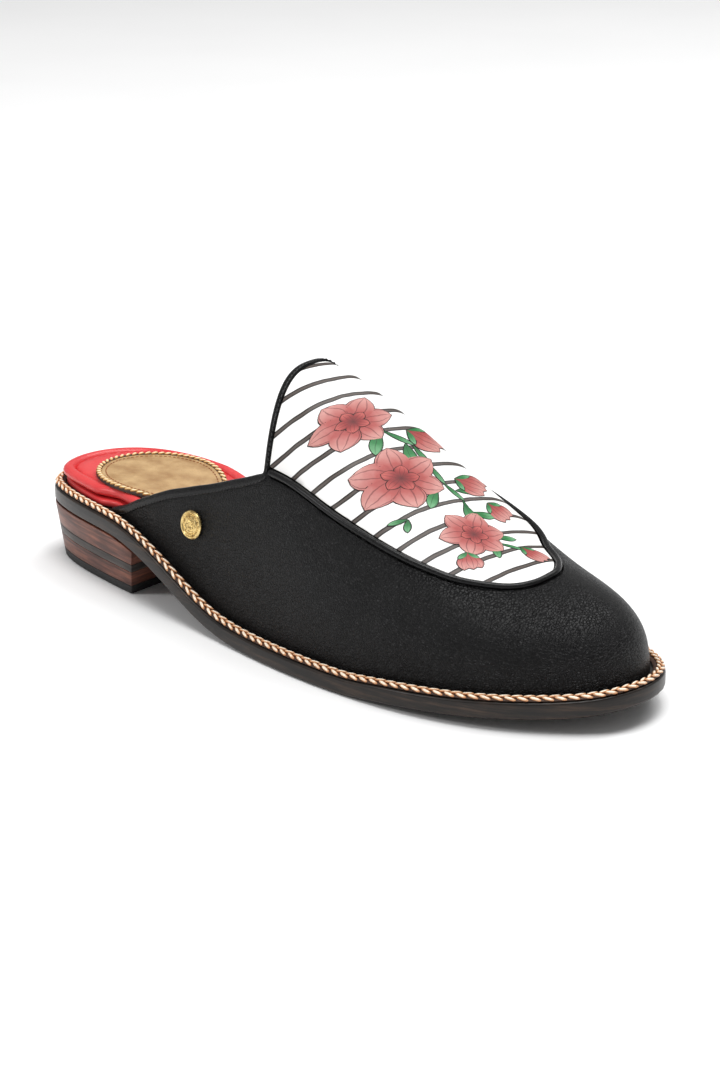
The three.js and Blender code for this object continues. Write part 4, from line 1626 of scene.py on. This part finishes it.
@dataclass
class Studio:
    """Pale floor, soft lights and the camera at the photograph's angle."""

    camera_place: tuple[float, float, float] = (560.6, -630.0, 338.1)
    camera_aim: tuple[float, float, float] = (2.1, 8.7, 28.0)
    lens: float = 90.4
    floor_size: float = 12.0
    floor_drop: float = 0.0002
    # Name, place in metres, side in metres and power in watts
    lamps: tuple[tuple[str, tuple[float, float, float], float, float], ...] = (
        ("softbox", (0.2, 1.0, 1.7), 1.2, 19),
        ("overhead", (0.2, -0.2, 1.8), 0.9, 21),
        ("key", (-0.7, -1.2, 1.1), 0.35, 6),
    )

    def build(self) -> None:
        """Sets up floor, lights, world and camera."""
        select_only(None)
        bpy.ops.mesh.primitive_plane_add(size=self.floor_size, location=(0, 0, -self.floor_drop))
        floor = bpy.context.object
        floor.name = "floor"
        floor.data.materials.append(StudioPaper().build())
        bpy.context.scene.view_settings.view_transform = "Standard"
        for lamp in self.lamps:
            self.light(*lamp)
        world = bpy.data.worlds.new("studio_air")
        world.use_nodes = True
        ground = next(node for node in world.node_tree.nodes if node.type == "BACKGROUND")
        ground.inputs["Color"].default_value = (1, 1, 1, 1)
        ground.inputs["Strength"].default_value = 0.33
        bpy.context.scene.world = world
        camera = bpy.data.objects.new("camera", bpy.data.cameras.new("camera"))
        bpy.context.scene.collection.objects.link(camera)
        place = Vector(self.camera_place) * MM
        view = Vector(self.camera_aim) * MM - place
        camera.matrix_world = (
            Matrix.Translation(place) @ view.to_track_quat("-Z", "Y").to_matrix().to_4x4()
        )
        camera.data.lens = self.lens
        camera.data.sensor_width = 36
        camera.data.clip_start = 0.01
        bpy.context.scene.camera = camera

    @staticmethod
    def light(name: str, place: tuple[float, float, float], size: float, power: float) -> None:
        """Adds one soft square light that faces the shoe.

        Args:
            name: Name of the light.
            place: Position in metres.
            size: Side in metres.
            power: Power in watts.
        """
        data = bpy.data.lights.new(name, "AREA")
        data.size = size
        data.energy = power
        lamp = bpy.data.objects.new(name, data)
        bpy.context.scene.collection.objects.link(lamp)
        lamp.location = place
        lamp.rotation_euler = (-Vector(place)).to_track_quat("-Z", "Y").to_euler()


def main() -> None:
    """Builds the slipper and its studio in order."""
    logging.basicConfig(level=logging.INFO, format="%(message)s")
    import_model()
    form = SoleForm()
    black = GrainedLeather(
        "black_calf_upper", "#050506", "#0d0d0e", 0.37, 0.95, 0.33, specular=0.24
    )
    trim = GrainedLeather(
        "black_calf_trim", "#050506", "#0c0c0d", 0.26, 0.6, 0.06, coat=0.25, specular=0.15
    )
    red = GrainedLeather("red_nappa", "#d42f33", "#e54b4b", 0.33, 0.7, 0.05, coat=0.2)
    lining = GrainedLeather("red_kid_lining", "#a92629", "#bf3335", 0.5, 0.8, 0.06)
    tan = GrainedLeather("tan_vegetable_tanned", "#a37d51", "#c9a777", 0.42, 0.9, 0.09, 7.0)
    thread = GrainedLeather("black_polyester_thread", "#070707", "#121212", 0.35, 0.4, 0.05)
    brown_thread = GrainedLeather("brown_linen_thread", "#7c441c", "#a2602e", 0.5, 0.4, 0.05)
    welt_base = GrainedLeather("dark_welt_leather", "#2c1a10", "#4a2c1a", 0.45, 0.5, 0.06)
    rubber = GrainedLeather("moulded_rubber", "#101010", "#1b1b1b", 0.6, 0.5, 0.03)
    edge = StackedLeather("inked_sole_edge", "#171412", "#251e1a", "#43342a", 0.34, 1.6)
    stack = StackedLeather("burnished_stacked_leather", "#3f221a", "#6b4033", "#935b45")
    spacer = StackedLeather("dark_stacked_leather", "#1d1917", "#37302c", "#5a4f48")
    # Cord colours: crown and shoulder painted highlight, then the copper flank, then painted shade
    # in the pits
    cord = WaxedCord("waxed_copper_cord", "#fbeeda", "#e0ae80", "#b06a3c", "#40210f")
    whip = WaxedCord("waxed_tan_cord", "#fbe5ba", "#d9ab69", "#9c6a2f", "#2a170a")
    Upper(black.build(), trim.build(), lining.build(), thread.build()).build()
    Plug(
        StripedCalf().build(),
        PrintInk("coral_ink", "#862b2b", "#ac524e", "#c98f88", "#5c2023").build(),
        PrintInk("deep_coral_ink", "#5e1719", "#8f2c2c", "#b85650", "#431215").build(),
        PrintInk("green_ink", "#14592b", "#2b7a41", "#6ba577", "#0d3d1c", 2.0).build(),
        GrainedLeather("outline_ink", "#140e0e", "#201616", 0.5, 0.6, 0.01, specular=0.2).build(),
    ).build()
    bpy.context.view_layer.update()
    Bottom(
        form,
        edge.build(),
        rubber.build(),
        stack.build(),
        spacer.build(),
        welt_base.build(),
        cord.build(),
    ).build()
    Footbed(
        form,
        red.build(),
        tan.build(),
        whip.build(),
        brown_thread.build(),
        # Dark band under the whip stitches, painted shade for the gaps between them
        GrainedLeather("rim_shade_leather", "#22130a", "#3a2414", 0.5, 0.5, 0.05).build(),
    ).build()
    Stud(CastBrass().build()).build()
    Studio().build()


if __name__ == "__main__":
    main()
